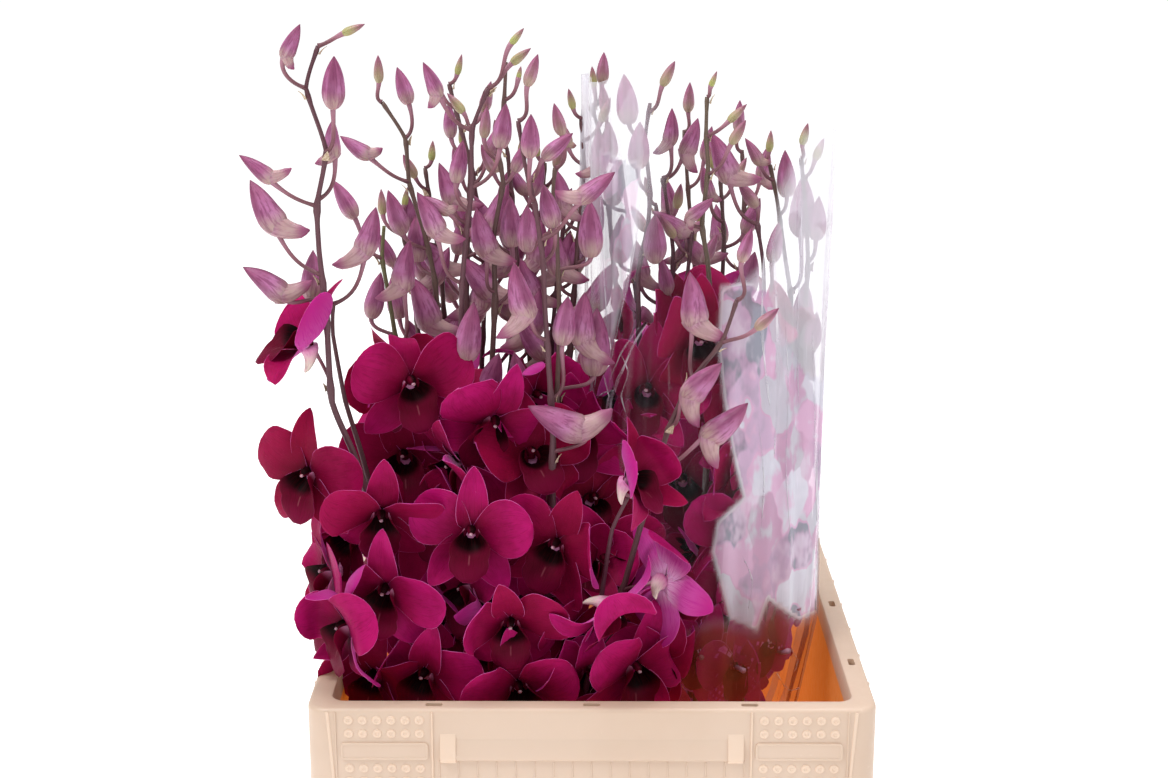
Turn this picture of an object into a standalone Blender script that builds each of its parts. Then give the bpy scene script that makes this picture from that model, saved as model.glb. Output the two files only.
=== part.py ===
"""Cut dendrobium orchid sprays standing in an open plastic flower crate.

Ten loose sprays stand at the front left of the crate, and ten more stand behind them in a
clear film sleeve. Each bunch is tied near its foot with a rubber band.
Metres, +Z up. The origin is the centre of the crate's flat underside, and the crate's
short front face looks along -Y.
"""

import itertools
import math
from collections import namedtuple

import bmesh
import bpy
from mathutils import Matrix, Vector
from mathutils.bvhtree import BVHTree

# Crate, in metres. The rim is a channel that is open below.
CRATE_WIDTH = 0.300
CRATE_LENGTH = 0.400
CRATE_HEIGHT = 0.235
RIM_WIDTH = 0.0125
RIM_TOP = 0.003
SKIRT_HEIGHT = 0.060
SKIRT_WALL = 0.0026
CRATE_WALL = 0.0028
FLOOR = 0.004
WALL_DRAFT = 0.003
CORNER_RADIUS = 0.012
CORNER_STEPS = 4
POST_WIDTH = 0.026
SLOT_SIZE = (0.009, 0.0036)
END_SLOTS = (-0.083, 0.0, 0.083)
SIDE_SLOTS = (-0.135, -0.045, 0.045, 0.135)
PLATE_SIZE = (0.0456, 0.0106)
PLATE_HEIGHT = 0.0009
PLATE_X = 0.1085
PLATE_DROP = 0.0236
LEDGE_SIZE = (0.156, 0.005)
LEDGE_DROP = 0.0255

# Stems, buds and flowers. A share is of the length that it shapes.
GAP = 0.0003
FOOT_RADIUS = 0.0031
TIP_RADIUS = 0.0011
STEM_TAPER = 0.8
STEM_SIDES = 5
STEM_STEPS = 4
STEM_LEAVES_TIE = 0.27
STEM_MEETS_SEEN = 0.45
STEM_UPRIGHT = 0.6
TIE_CLEARANCE = 0.012
TWIG_RADIUS = 0.0012
TWIG_SIDES = 3
TWIG_STEPS = 2
TWIG_REACH = 0.45
TWIG_UPRIGHT = 0.35
TWIG_TURN = 0.8
TWIG_IN_BUD = 0.002
BUD_SIDES = 5
BUD_WIDTH = 0.45
BUD_PROFILE = ((0.0, 0.35), (0.20, 1.0), (0.62, 0.82), (1.0, 0.05))
CHIN_LENGTH = 0.42
FACING_CHIN = 0.25
BASE_LEAN = 0.7
TIP_LEAN = 1.3
FLOWER_WIDTH = 0.065
TEPAL_THICKNESS = 0.0011
BOSS_LENGTH = 0.004
BOSS_RADIUS = 0.0035
CUP_RISE = 0.10
NOTCH_REACH = 0.16
PEDICEL_REACH = 0.030
PEDICEL_LEAVES = 0.6

# Bunches: where the stems are tied, and how they stand in the tie.
TIE_HEIGHT = 0.062
TIE_BAND = 0.005
TIE_THICKNESS = 0.0013
TIE_SAMPLES = 28
SLOT_PITCH = 0.0072
TIE_ROWS = (3, 4, 3)
FRONT_TIE = Vector((-0.052, -0.095, 0.0))
SLEEVED_TIE = Vector((0.060, -0.062, 0.0))

# Film sleeve: a cone that is narrow round the stems and wide at the top.
FILM_THICKNESS = 0.0006
FILM_AXIS = Vector((0.0640, -0.062, 0.0))
FILM_HALF = (0.0712, 0.068)
FILM_SAMPLES = 28
FILM_LEVELS = (0.050, 0.074, 0.125, 0.178, 0.236, 0.330, 0.450, 0.566)
FILM_OPEN = (0.0, 0.0, 0.36, 0.78, 0.985, 1.0, 0.99, 1.0)
FILM_PLEATS = 7
FILM_PLEAT_DEPTH = 0.0011

# The view that the plant's places were read in: pixels, metres and radians.
VIEW_CENTRE = (584, 389)
VIEW_FOCAL = 1946.7
VIEW_EYE = Vector((0.0, -1.142, 0.6535))
VIEW_PITCH = math.radians(14.6)
VIEW_YAW = math.radians(0.25)

# A flower's tepals: the turn from the top in degrees, the length as a share of the flower's
# width, the half spread in degrees, and how far along the sides are at their widest.
TEPALS = (
    (0, 0.50, 16, 0.66),
    (68, 0.49, 27, 0.93),
    (142, 0.50, 15, 0.66),
    (218, 0.50, 15, 0.66),
    (292, 0.49, 27, 0.93),
)
TEPAL_GAP = 36

# What is tried, in this order, to find a flower, its stalk or a bud a place clear of the
# rest: shares of its size, degrees of turn, mm of depth, and metres for the stalks.
FLOWER_SIZES = (1.0, 0.9, 0.8, 0.7, 0.6, 0.5)
FLOWER_TURNS = (0, 10, -10, 20, -20, 30, -30)
FLOWER_SHIFTS = (0, 4, -4, 8, -8, 12, 16, 20, -12, 26, 32)
STALK_DROPS = (0.012, 0.020, 0.028, 0.004, 0.036, -0.006, 0.044, 0.052, -0.014)
STALK_BOWS = (0.0, 0.008, -0.008, 0.016, -0.016)
STALK_BENDS = (0.4, 0.25, 0.6, 0.15)
BUD_SIZES = (1.0, 0.85, 0.7, 0.55)
BUD_SWINGS = (0, 4, -4, 8, -8, 12, -12, 16, -16, 20, -20, 24, -24)

# joins, base and tip are pixels: where a bud's stalk leaves the stem, its base and its point.
# chin is the side that its chin is on, and lean the depth in mm that it points away by.
Bud = namedtuple("Bud", "joins base tip chin lean")

# behind is the spray's depth in mm behind the crate's front face. stem runs from the top
# node down to where the flowers hide it, in pixels.
Spray = namedtuple("Spray", "name behind stem buds")

FRONT_SPRAYS = (
    Spray(
        "spray_01",
        44,
        [(318, 46), (306, 88), (326, 150), (317, 205), (319, 250), (326, 310), (332, 402), (357, 462)],
        [
            Bud((318, 46), (342, 34), (365, 24), 0, 0),
            Bud((306, 88), (283, 58), (300, 24), 1, -4),
            Bud((327, 152), (333, 108), (334, 56), 0, -8),
            Bud((320, 200), (335, 158), (333, 119), -1, 9),
            Bud((316, 206), (272, 182), (239, 155), 1, -5),
            Bud((320, 275), (277, 232), (250, 180), 1, 5),
            Bud((323, 300), (285, 300), (243, 267), 1, -3),
            Bud((327, 322), (312, 300), (313, 250), 0, 12),
        ],
    ),
    Spray(
        "spray_02",
        66,
        [(333, 302), (333, 335), (345, 400), (362, 455)],
        [Bud((333, 304), (365, 256), (376, 207), -1, 4)],
    ),
    Spray(
        "spray_03",
        88,
        [(384, 226), (382, 258), (388, 292), (396, 340), (408, 420), (412, 470)],
        [
            Bud((382, 258), (355, 218), (333, 180), 0, 0),
            Bud((395, 335), (371, 318), (381, 272), 0, 4),
            Bud((396, 345), (405, 290), (410, 240), -1, -6),
        ],
    ),
    Spray(
        "spray_04",
        112,
        [(382, 102), (405, 138), (409, 182), (424, 232), (434, 275), (440, 330), (450, 400), (452, 450)],
        [
            Bud((382, 102), (379, 83), (378, 55), 0, 0),
            Bud((405, 138), (409, 104), (397, 67), 0, 4),
            Bud((409, 182), (370, 158), (340, 136), 1, -4),
            Bud((424, 250), (403, 234), (388, 190), 0, -5),
            Bud((434, 276), (418, 262), (416, 215), 0, 8),
            Bud((440, 345), (429, 330), (411, 276), 1, -6),
        ],
    ),
    Spray(
        "spray_05",
        74,
        [(488, 88), (472, 130), (472, 187), (467, 225), (462, 285), (461, 340), (458, 400), (460, 470)],
        [
            Bud((488, 88), (510, 45), (524, 28), 0, 0),
            Bud((488, 89), (511, 64), (531, 48), 0, 6),
            Bud((472, 130), (440, 97), (423, 62), -1, -4),
            Bud((472, 129), (464, 113), (447, 93), 0, 6),
            Bud((472, 187), (500, 148), (506, 103), 0, 3),
            Bud((469, 210), (456, 183), (463, 140), 0, 7),
            Bud((466, 232), (450, 214), (420, 196), 1, 3),
            Bud((462, 283), (437, 237), (417, 192), 1, -6),
            Bud((458, 392), (465, 362), (474, 302), 0, -5),
        ],
    ),
    Spray(
        "spray_06",
        100,
        [(506, 62), (504, 102), (498, 150), (503, 183), (494, 235), (495, 300), (491, 385), (492, 440)],
        [
            Bud((504, 100), (518, 80), (521, 66), 0, 0),
            Bud((499, 160), (484, 138), (487, 106), 0, 4),
            Bud((503, 185), (514, 172), (528, 140), 0, 8),
            Bud((495, 292), (487, 257), (476, 208), 1, -4),
            Bud((495, 305), (512, 247), (510, 196), 0, 5),
            Bud((491, 425), (484, 402), (499, 353), -1, -9),
            Bud((492, 428), (523, 402), (514, 352), 0, -5),
        ],
    ),
    Spray(
        "spray_07",
        58,
        [(518, 121), (525, 165), (535, 205), (543, 260), (545, 310), (551, 400), (553, 440)],
        [
            Bud((518, 121), (527, 86), (538, 54), 0, 0),
            Bud((534, 200), (530, 157), (531, 114), 0, -7),
            Bud((540, 240), (580, 202), (615, 172), -1, -3),
            Bud((528, 182), (543, 159), (573, 133), 0, 5),
            Bud((543, 262), (554, 228), (543, 184), 0, 6),
            Bud((547, 340), (530, 318), (514, 262), -1, -6),
            Bud((549, 400), (562, 345), (568, 296), 0, 5),
            Bud((552, 452), (584, 436), (528, 406), 1, -9),
        ],
    ),
    Spray(
        "spray_08",
        84,
        [(555, 168), (553, 192), (557, 240), (559, 300), (559, 350), (556, 410)],
        [
            Bud((555, 168), (562, 135), (554, 103), 0, 0),
            Bud((558, 270), (591, 257), (590, 200), 0, 4),
            Bud((559, 330), (580, 346), (585, 292), 1, -4),
            Bud((557, 390), (594, 375), (597, 308), 0, 5),
            Bud((557, 232), (528, 252), (527, 205), 0, 6),
        ],
    ),
    Spray(
        "spray_09",
        50,
        [(737, 300), (722, 342), (690, 382), (668, 430), (655, 475), (645, 510)],
        [
            Bud((737, 300), (741, 262), (752, 228), 0, 0),
            Bud((722, 342), (756, 329), (779, 308), 0, -4),
            Bud((693, 378), (692, 328), (690, 272), 1, 4),
            Bud((667, 426), (684, 398), (722, 363), 1, -6),
            Bud((657, 470), (703, 438), (748, 403), 1, -3),
        ],
    ),
    Spray("spray_10", 40, [(628, 497), (612, 530), (603, 585), (596, 640)], []),
)

SLEEVED_SPRAYS = (
    Spray(
        "spray_11",
        112,
        [(650, 103), (645, 140), (650, 190), (648, 225), (638, 275), (640, 350), (652, 430)],
        [
            Bud((651, 112), (662, 86), (675, 61), 0, 0),
            Bud((645, 140), (629, 124), (624, 74), 0, 5),
            Bud((649, 192), (638, 168), (640, 122), 0, -5),
            Bud((643, 250), (655, 262), (655, 214), 0, -8),
        ],
    ),
    Spray(
        "spray_12",
        130,
        [(663, 178), (667, 205), (673, 250), (672, 310), (668, 380), (668, 440)],
        [
            Bud((663, 178), (671, 145), (672, 108), -1, -4),
            Bud((663, 180), (683, 156), (698, 118), 1, 3),
            Bud((673, 262), (684, 236), (652, 211), 1, 0),
        ],
    ),
    Spray(
        "spray_13",
        97,
        [(707, 97), (706, 135), (708, 170), (702, 225), (708, 265), (712, 330), (708, 420)],
        [
            Bud((707, 97), (710, 88), (717, 71), 0, 0),
            Bud((706, 136), (728, 122), (747, 104), 0, 3),
            Bud((708, 174), (731, 144), (746, 120), 0, -4),
            Bud((703, 228), (686, 219), (714, 198), 1, -3),
        ],
    ),
    Spray(
        "spray_14",
        116,
        [(757, 222), (763, 262), (764, 300), (758, 380), (748, 450)],
        [
            Bud((757, 224), (729, 182), (712, 133), 1, -5),
            Bud((758, 226), (757, 207), (738, 181), 0, 5),
            Bud((764, 300), (772, 262), (779, 222), 0, 4),
        ],
    ),
    Spray(
        "spray_15",
        146,
        [(770, 165), (777, 200), (784, 250), (791, 300), (786, 370), (782, 440)],
        [
            Bud((770, 165), (769, 152), (771, 130), 0, 0),
            Bud((773, 180), (760, 165), (745, 138), 1, -4),
            Bud((779, 215), (787, 197), (785, 150), 0, 5),
            Bud((790, 290), (801, 236), (804, 174), 0, -9),
            Bud((789, 345), (801, 330), (806, 281), 0, -4),
        ],
    ),
    Spray(
        "spray_16",
        124,
        [(801, 158), (805, 200), (808, 260), (804, 330), (796, 400), (790, 460)],
        [
            Bud((801, 158), (802, 145), (808, 123), 0, 0),
            Bud((803, 178), (815, 160), (824, 138), 0, 3),
            Bud((808, 262), (816, 240), (819, 196), 0, 5),
            Bud((803, 335), (810, 350), (817, 312), 0, -4),
            Bud((791, 462), (800, 446), (801, 392), 0, -4),
        ],
    ),
    Spray(
        "spray_17",
        158,
        [(591, 106), (600, 135), (608, 200), (614, 270), (625, 360)],
        [
            Bud((592, 106), (594, 88), (592, 66), 0, 0),
            Bud((593, 108), (602, 84), (604, 52), 0, 4),
            Bud((600, 137), (606, 114), (602, 84), 0, -4),
            Bud((608, 205), (600, 172), (598, 130), 0, -4),
        ],
    ),
    Spray(
        "spray_18",
        144,
        [(620, 160), (627, 210), (634, 270), (640, 350)],
        [
            Bud((620, 162), (610, 160), (609, 122), 0, -3),
            Bud((626, 212), (612, 205), (618, 160), 0, 4),
            Bud((634, 272), (620, 262), (622, 214), 0, -5),
        ],
    ),
    Spray(
        "spray_19",
        180,
        [(684, 130), (688, 190), (694, 260), (700, 340)],
        [
            Bud((684, 132), (688, 112), (690, 82), 0, 0),
            Bud((687, 188), (704, 160), (712, 126), 1, 3),
            Bud((692, 240), (672, 214), (664, 176), -1, 3),
        ],
    ),
    Spray(
        "spray_20",
        176,
        [(742, 150), (744, 210), (740, 280), (736, 350)],
        [
            Bud((742, 152), (738, 132), (740, 100), 0, 0),
            Bud((744, 205), (760, 180), (768, 146), 1, 3),
            Bud((741, 270), (722, 244), (716, 204), -1, 3),
        ],
    ),
)

# An open flower: its spray, the pixel of its throat, its depth in mm behind the crate's
# front face, and where it faces in degrees: yaw to the right, pitch up, roll clockwise.
Flower = namedtuple("Flower", "spray pixel behind yaw pitch roll")

FLOWERS = (
    Flower("spray_01", (303, 344), 44, -100, 25, -20),
    Flower("spray_01", (309, 480), 46, -28, -5, 5),
    Flower("spray_03", (412, 388), 62, 20, -5, -8),
    Flower("spray_03", (405, 466), 84, -5, 10, -10),
    Flower("spray_02", (380, 518), 50, 5, -30, 5),
    Flower("spray_02", (385, 594), 34, -15, -15, 10),
    Flower("spray_05", (470, 540), 38, 2, -3, 5),
    Flower("spray_07", (553, 546), 42, -18, -5, 20),
    Flower("spray_07", (536, 458), 70, 15, 35, -10),
    Flower("spray_06", (511, 628), 30, 0, -20, 0),
    Flower("spray_07", (566, 630), 32, 40, -20, 20),
    Flower("spray_09", (664, 580), 42, 125, -10, 50),
    Flower("spray_10", (608, 610), 36, 60, -50, 20),
    Flower("spray_09", (632, 484), 40, 60, 30, 10),
    Flower("spray_02", (350, 634), 42, -60, -10, 0),
    Flower("spray_01", (333, 575), 74, -70, -5, 10),
    Flower("spray_05", (446, 626), 58, -20, 10, -30),
    Flower("spray_04", (470, 455), 118, 10, 10, 0),
    Flower("spray_08", (576, 440), 82, 10, 10, 0),
    Flower("spray_03", (425, 678), 44, -20, -10, 10),
    Flower("spray_06", (520, 690), 40, 10, -15, -10),
    Flower("spray_10", (630, 672), 40, 30, -10, 10),
    Flower("spray_12", (683, 490), 104, 0, 0, 0),
    Flower("spray_13", (702, 344), 92, 5, -10, 0),
    Flower("spray_11", (650, 395), 96, -10, 5, 10),
    Flower("spray_14", (752, 470), 100, 15, 0, 10),
    Flower("spray_15", (788, 540), 110, 40, 0, -10),
    Flower("spray_13", (722, 640), 96, 10, 0, 20),
    Flower("spray_04", (440, 520), 150, 170, 5, 0),
    Flower("spray_06", (530, 480), 150, 175, 10, 20),
    Flower("spray_19", (670, 420), 196, 185, 5, 0),
    Flower("spray_20", (752, 400), 196, 165, 0, 10),
    Flower("spray_16", (806, 492), 134, 85, 5, 0),
)


def seen_at(pixel, behind):
    """The point that is seen at this pixel, this far behind the crate's front face."""
    right = Vector((math.cos(VIEW_YAW), math.sin(VIEW_YAW), 0))
    level = Vector((-math.sin(VIEW_YAW), math.cos(VIEW_YAW), 0))
    ahead = level * math.cos(VIEW_PITCH) - Vector((0, 0, math.sin(VIEW_PITCH)))
    across = (pixel[0] - VIEW_CENTRE[0]) / VIEW_FOCAL
    above = (VIEW_CENTRE[1] - pixel[1]) / VIEW_FOCAL
    ray = ahead + right * across + right.cross(ahead) * above
    return VIEW_EYE + ray * ((behind - CRATE_LENGTH / 2 - VIEW_EYE.y) / ray.y)


def clear_scene():
    for obj in list(bpy.data.objects):
        bpy.data.objects.remove(obj)


def material(name, colour, roughness, metallic=0.0, alpha=1.0):
    made = bpy.data.materials.new(name)
    made.use_nodes = True
    shader = made.node_tree.nodes["Principled BSDF"]
    shader.inputs["Base Color"].default_value = (*colour, 1)
    shader.inputs["Roughness"].default_value = roughness
    shader.inputs["Metallic"].default_value = metallic
    shader.inputs["Alpha"].default_value = alpha
    return made


def add_object(name, points, faces, look):
    """A mesh object with its faces turned out."""
    mesh = bpy.data.meshes.new(name)
    mesh.from_pydata([tuple(point) for point in points], [], faces)
    grown = bmesh.new()
    grown.from_mesh(mesh)
    bmesh.ops.recalc_face_normals(grown, faces=grown.faces)
    grown.to_mesh(mesh)
    grown.free()
    mesh.materials.append(look)
    obj = bpy.data.objects.new(name, mesh)
    bpy.context.scene.collection.objects.link(obj)
    return obj


def add_tool(name, points, faces, look):
    """A hidden mesh that a Boolean joins to, or cuts from, another."""
    tool = add_object(name, points, faces, look)
    tool.hide_render = True
    tool.display_type = "WIRE"
    return tool


def combine(obj, tool, operation):
    boolean = obj.modifiers.new(operation.lower(), "BOOLEAN")
    boolean.operation = operation
    boolean.solver = "EXACT"
    boolean.use_self = True
    boolean.object = tool


def joined(shapes):
    """Several (points, faces) as one."""
    points = []
    faces = []
    for more_points, more_faces in shapes:
        start = len(points)
        points += more_points
        faces += [[index + start for index in face] for face in more_faces]
    return points, faces


def between_rings(lower, upper, sides):
    """Triangles between two rings of points, given the index that each ring starts at."""
    faces = []
    for side in range(sides):
        after = (side + 1) % sides
        faces.append([lower + side, lower + after, upper + after])
        faces.append([lower + side, upper + after, upper + side])
    return faces


def skin(rings):
    """Triangles between rings of equally many points, with a flat convex cap at each end."""
    sides = len(rings[0])
    points = [point for ring in rings for point in ring]
    last = len(points) - sides
    faces = []
    for start in range(0, last, sides):
        faces += between_rings(start, start + sides, sides)
    for side in range(1, sides - 1):
        faces.append([0, side + 1, side])
        faces.append([last, last + side, last + side + 1])
    return points, faces


def tube(path, radii, sides):
    """A round rod along a path, with a radius at each point."""
    across = Vector((1, 0, 0))
    rings = []
    for index, point in enumerate(path):
        ahead = path[min(index + 1, len(path) - 1)] - path[max(index - 1, 0)]
        ahead = ahead.normalized()
        across = (across - ahead * across.dot(ahead)).normalized()
        other = ahead.cross(across)
        ring = []
        for side in range(sides):
            turn = math.tau * side / sides
            offset = across * math.cos(turn) + other * math.sin(turn)
            ring.append(point + offset * radii[index])
        rings.append(ring)
    return skin(rings)


def bezier(start, leaving, arriving, end, steps):
    path = []
    for step in range(steps + 1):
        t = step / steps
        path.append(
            start * (1 - t) ** 3
            + leaving * 3 * t * (1 - t) ** 2
            + arriving * 3 * t * t * (1 - t)
            + end * t**3
        )
    return path


class Room:
    """The shapes placed so far, so that the next ones can keep clear of them."""

    def __init__(self):
        self.trees = []

    def add(self, owner, shape):
        self.trees.append((owner, BVHTree.FromPolygons(*shape)))

    def is_clear(self, shape, owner=None):
        tree = BVHTree.FromPolygons(*shape)
        return not any(
            placed.overlap(tree) for name, placed in self.trees if name != owner
        )


# Crate.


def rounded_ring(half_x, half_y, radius, height):
    """The outline of a rectangle with round corners."""
    ring = []
    for quarter in range(4):
        sign_x = (1, -1, -1, 1)[quarter]
        sign_y = (1, 1, -1, -1)[quarter]
        for step in range(CORNER_STEPS):
            turn = math.pi / 2 * (quarter + step / (CORNER_STEPS - 1))
            x = sign_x * (half_x - radius) + radius * math.cos(turn)
            y = sign_y * (half_y - radius) + radius * math.sin(turn)
            ring.append(Vector((x, y, height)))
    return ring


def box(centre, size):
    """A closed box."""
    lower = rectangle(centre, size, -size[2] / 2)
    upper = rectangle(centre, size, size[2] / 2)
    return skin([lower, upper])


def rectangle(centre, size, rise):
    corners = ((-1, -1), (1, -1), (1, 1), (-1, 1))
    return [
        Vector((centre[0] + x * size[0] / 2, centre[1] + y * size[1] / 2, centre[2] + rise))
        for x, y in corners
    ]


def crate_walls():
    """The crate's section from its underside, up the outside, over the rim and down inside."""
    half_x = CRATE_WIDTH / 2
    half_y = CRATE_LENGTH / 2
    top = CRATE_HEIGHT
    inset = RIM_WIDTH
    outer_wall = inset - CRATE_WALL
    under_rim = top - RIM_TOP
    skirt_end = top - SKIRT_HEIGHT
    edge = 0.0015
    section = (
        (outer_wall + WALL_DRAFT, 0.0),
        (outer_wall, under_rim),
        (SKIRT_WALL, under_rim),
        (SKIRT_WALL, skirt_end),
        (0.0, skirt_end),
        (0.0, top - edge),
        (edge / 2, top),
        (inset - edge / 2, top),
        (inset, top - edge),
        (inset + WALL_DRAFT, FLOOR),
    )
    rings = []
    for inward, height in section:
        radius = max(CORNER_RADIUS - inward * 0.4, 0.006)
        rings.append(rounded_ring(half_x - inward, half_y - inward, radius, height))
    return skin(rings)


def crate_details():
    """Corner posts below the skirt, blank label plates and the ledge under each short side."""
    shapes = []
    half_x = CRATE_WIDTH / 2
    half_y = CRATE_LENGTH / 2
    post_height = CRATE_HEIGHT - SKIRT_HEIGHT + 0.004
    reach = RIM_WIDTH - 0.0016
    for side_x in (-1, 1):
        for side_y in (-1, 1):
            x = side_x * (half_x - 0.0004 - POST_WIDTH / 2)
            y = side_y * (half_y - 0.0008 - reach / 2)
            middle = 0.0008 + post_height / 2
            shapes.append(box((x, y, middle), (POST_WIDTH, reach, post_height)))
            x = side_x * (half_x - 0.0004 - reach / 2)
            y = side_y * (half_y - 0.0016 - POST_WIDTH / 2)
            shapes.append(box((x, y, middle), (reach, POST_WIDTH, post_height - 0.001)))
    for side_y in (-1, 1):
        for side_x in (-1, 1):
            centre = (
                side_x * PLATE_X,
                side_y * (half_y - 0.0005 + PLATE_HEIGHT / 2),
                CRATE_HEIGHT - PLATE_DROP,
            )
            shapes.append(box(centre, (PLATE_SIZE[0], PLATE_HEIGHT + 0.001, PLATE_SIZE[1])))
        ledge = (0.0, side_y * (half_y + 0.0003), CRATE_HEIGHT - LEDGE_DROP)
        shapes.append(box(ledge, (LEDGE_SIZE[0], 0.0036, LEDGE_SIZE[1])))
    return joined(shapes)


def rim_slots():
    """The small drain slots through the rim's top."""
    shapes = []
    middle = RIM_WIDTH / 2
    height = CRATE_HEIGHT - RIM_TOP / 2
    long, narrow = SLOT_SIZE
    deep = RIM_TOP * 2
    for side in (-1, 1):
        for x in END_SLOTS:
            y = side * (CRATE_LENGTH / 2 - middle)
            shapes.append(box((x, y, height), (long, narrow, deep)))
        for y in SIDE_SLOTS:
            x = side * (CRATE_WIDTH / 2 - middle)
            shapes.append(box((x, y, height), (narrow, long, deep)))
    return joined(shapes)


def make_crate(look, room):
    walls = crate_walls()
    details = crate_details()
    crate = add_object("crate", *walls, look)
    combine(crate, add_tool("crate_details", *details, look), "UNION")
    combine(crate, add_tool("crate_slots", *rim_slots(), look), "DIFFERENCE")
    room.add("crate", walls)
    return crate


# Ties and sleeve.


def tie_slots(tie):
    """Where the ten stems stand in their tie, front row first, each row from left to right."""
    slots = []
    for row, count in enumerate(TIE_ROWS):
        for place in range(count):
            x = (place - (count - 1) / 2) * SLOT_PITCH
            y = (row - (len(TIE_ROWS) - 1) / 2) * SLOT_PITCH * math.sin(math.pi / 3)
            slots.append(tie + Vector((x, y, 0)))
    return slots


def band_outline(tie, gap, height, samples):
    """The line of a band pulled tight round the stems, with this gap to them."""
    slots = tie_slots(tie)
    outline = []
    for sample in range(samples):
        turn = math.tau * (sample + 0.5) / samples
        way = Vector((math.cos(turn), math.sin(turn), 0))
        outermost = max(slots, key=way.dot)
        place = outermost + way * (FOOT_RADIUS + gap)
        outline.append(Vector((place.x, place.y, height)))
    return outline


def hoop(rings):
    """Triangles round a closed section that is made of rings."""
    sides = len(rings[0])
    points = [point for ring in rings for point in ring]
    faces = []
    for start in range(0, len(points), sides):
        faces += between_rings(start, (start + sides) % len(points), sides)
    return points, faces


def make_tie(name, tie, gap, look, room):
    low = TIE_HEIGHT
    high = TIE_HEIGHT + TIE_BAND
    inner = [band_outline(tie, gap, height, TIE_SAMPLES) for height in (low, high)]
    outer = [
        band_outline(tie, gap + TIE_THICKNESS, height, TIE_SAMPLES) for height in (low, high)
    ]
    shape = hoop(outer + inner[::-1])
    room.add(name, shape)
    return add_object(name, *shape, look)


def film_outline(level, inward):
    """The sleeve's line at one of its levels, moved in by inward."""
    height = FILM_LEVELS[level]
    opening = FILM_OPEN[level]
    neck = band_outline(SLEEVED_TIE, GAP + FILM_THICKNESS - inward, height, FILM_SAMPLES)
    outline = []
    for sample in range(FILM_SAMPLES):
        turn = math.tau * (sample + 0.5) / FILM_SAMPLES
        pleat = FILM_PLEAT_DEPTH * math.cos(FILM_PLEATS * turn + 0.9 * level) * opening
        half_x = FILM_HALF[0] - FILM_PLEAT_DEPTH + pleat - inward
        half_y = FILM_HALF[1] - FILM_PLEAT_DEPTH + pleat - inward
        wide = FILM_AXIS + Vector((half_x * math.cos(turn), half_y * math.sin(turn), height))
        outline.append(neck[sample].lerp(wide, opening))
    return outline


def make_sleeve(look, room):
    outer = [film_outline(level, 0.0) for level in range(len(FILM_LEVELS))]
    inner = [film_outline(level, FILM_THICKNESS) for level in range(len(FILM_LEVELS))]
    shape = hoop(outer + inner[::-1])
    room.add("sleeve", shape)
    return add_object("sleeve", *shape, look)


# Sprays.


def stem_path(spray, slot):
    """From the cut foot on the crate's floor, through the tie, to the top node."""
    behind = spray.behind / 1000
    seen = [seen_at(pixel, behind) for pixel in reversed(spray.stem)]
    foot = Vector((slot.x, slot.y, FLOOR + GAP))
    tied = Vector((slot.x, slot.y, TIE_HEIGHT + TIE_BAND + TIE_CLEARANCE))
    height = seen[0].z - tied.z
    leaving = tied + Vector((0, 0, height * STEM_LEAVES_TIE))
    upward = (seen[1] - seen[0]).normalized()
    upward = (upward + Vector((0, 0, STEM_UPRIGHT))).normalized()
    arriving = seen[0] - upward * height * STEM_MEETS_SEEN
    return [foot] + bezier(tied, leaving, arriving, seen[0], STEM_STEPS) + seen[1:]


def stem_radii(path):
    """Thick at the foot, thin at the top."""
    top = path[-1].z
    return [
        TIP_RADIUS + (FOOT_RADIUS - TIP_RADIUS) * (1 - point.z / top) ** STEM_TAPER
        for point in path
    ]


def nearest_on(path, point):
    """The point of a polyline that is nearest to a point."""
    best = None
    for start, end in zip(path, path[1:]):
        along = end - start
        t = max(0.0, min(1.0, (point - start).dot(along) / along.length_squared))
        place = start + along * t
        distance = (place - point).length
        if best is None or distance < best[0]:
            best = (distance, place)
    return best[1]


def bud_shape(base, tip, chin_way, chin):
    """A pointed bud. Its chin is one side of its lowest ring, pulled out."""
    along = tip - base
    length = along.length
    along = along.normalized()
    across = (chin_way - along * chin_way.dot(along)).normalized()
    other = along.cross(across)
    rings = []
    for level, (rise, share) in enumerate(BUD_PROFILE):
        centre = base + along * length * rise
        ring = []
        for side in range(BUD_SIDES):
            turn = math.tau * side / BUD_SIDES
            reach = share * length * BUD_WIDTH / 2
            if side == 0 and level == 1:
                reach += chin * CHIN_LENGTH * length
            ring.append(centre + (across * math.cos(turn) + other * math.sin(turn)) * reach)
        rings.append(ring)
    return skin(rings)


def bud_unit(bud, spray, path, swing, shrink):
    """A bud and its stalk, from inside the stem to the bud's point."""
    behind = spray.behind / 1000
    lean = (bud.lean + swing) / 1000
    joins = nearest_on(path, seen_at(bud.joins, behind))
    base = seen_at(bud.base, behind + lean * BASE_LEAN)
    tip = base.lerp(seen_at(bud.tip, behind + lean * TIP_LEAN), shrink)
    along = (tip - base).normalized()
    away = Vector((base.x - joins.x, base.y - joins.y, 0)).normalized()
    reach = (base - joins).length * TWIG_REACH
    leaving = joins + (away + Vector((0, 0, TWIG_UPRIGHT))).normalized() * reach
    arriving = base - along * reach * TWIG_TURN
    twig = bezier(joins, leaving, arriving, base + along * TWIG_IN_BUD, TWIG_STEPS)
    # A chin of 0 faces the view, and 1 is to the right of a bud that points up.
    toward = Vector((0, -1, 0))
    chin_way = toward if bud.chin == 0 else along.cross(toward) * bud.chin
    chin = FACING_CHIN if bud.chin == 0 else 1.0
    stalk = tube(twig, [TWIG_RADIUS] * len(twig), TWIG_SIDES)
    return joined([stalk, bud_shape(base, tip, chin_way, chin)])


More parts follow.
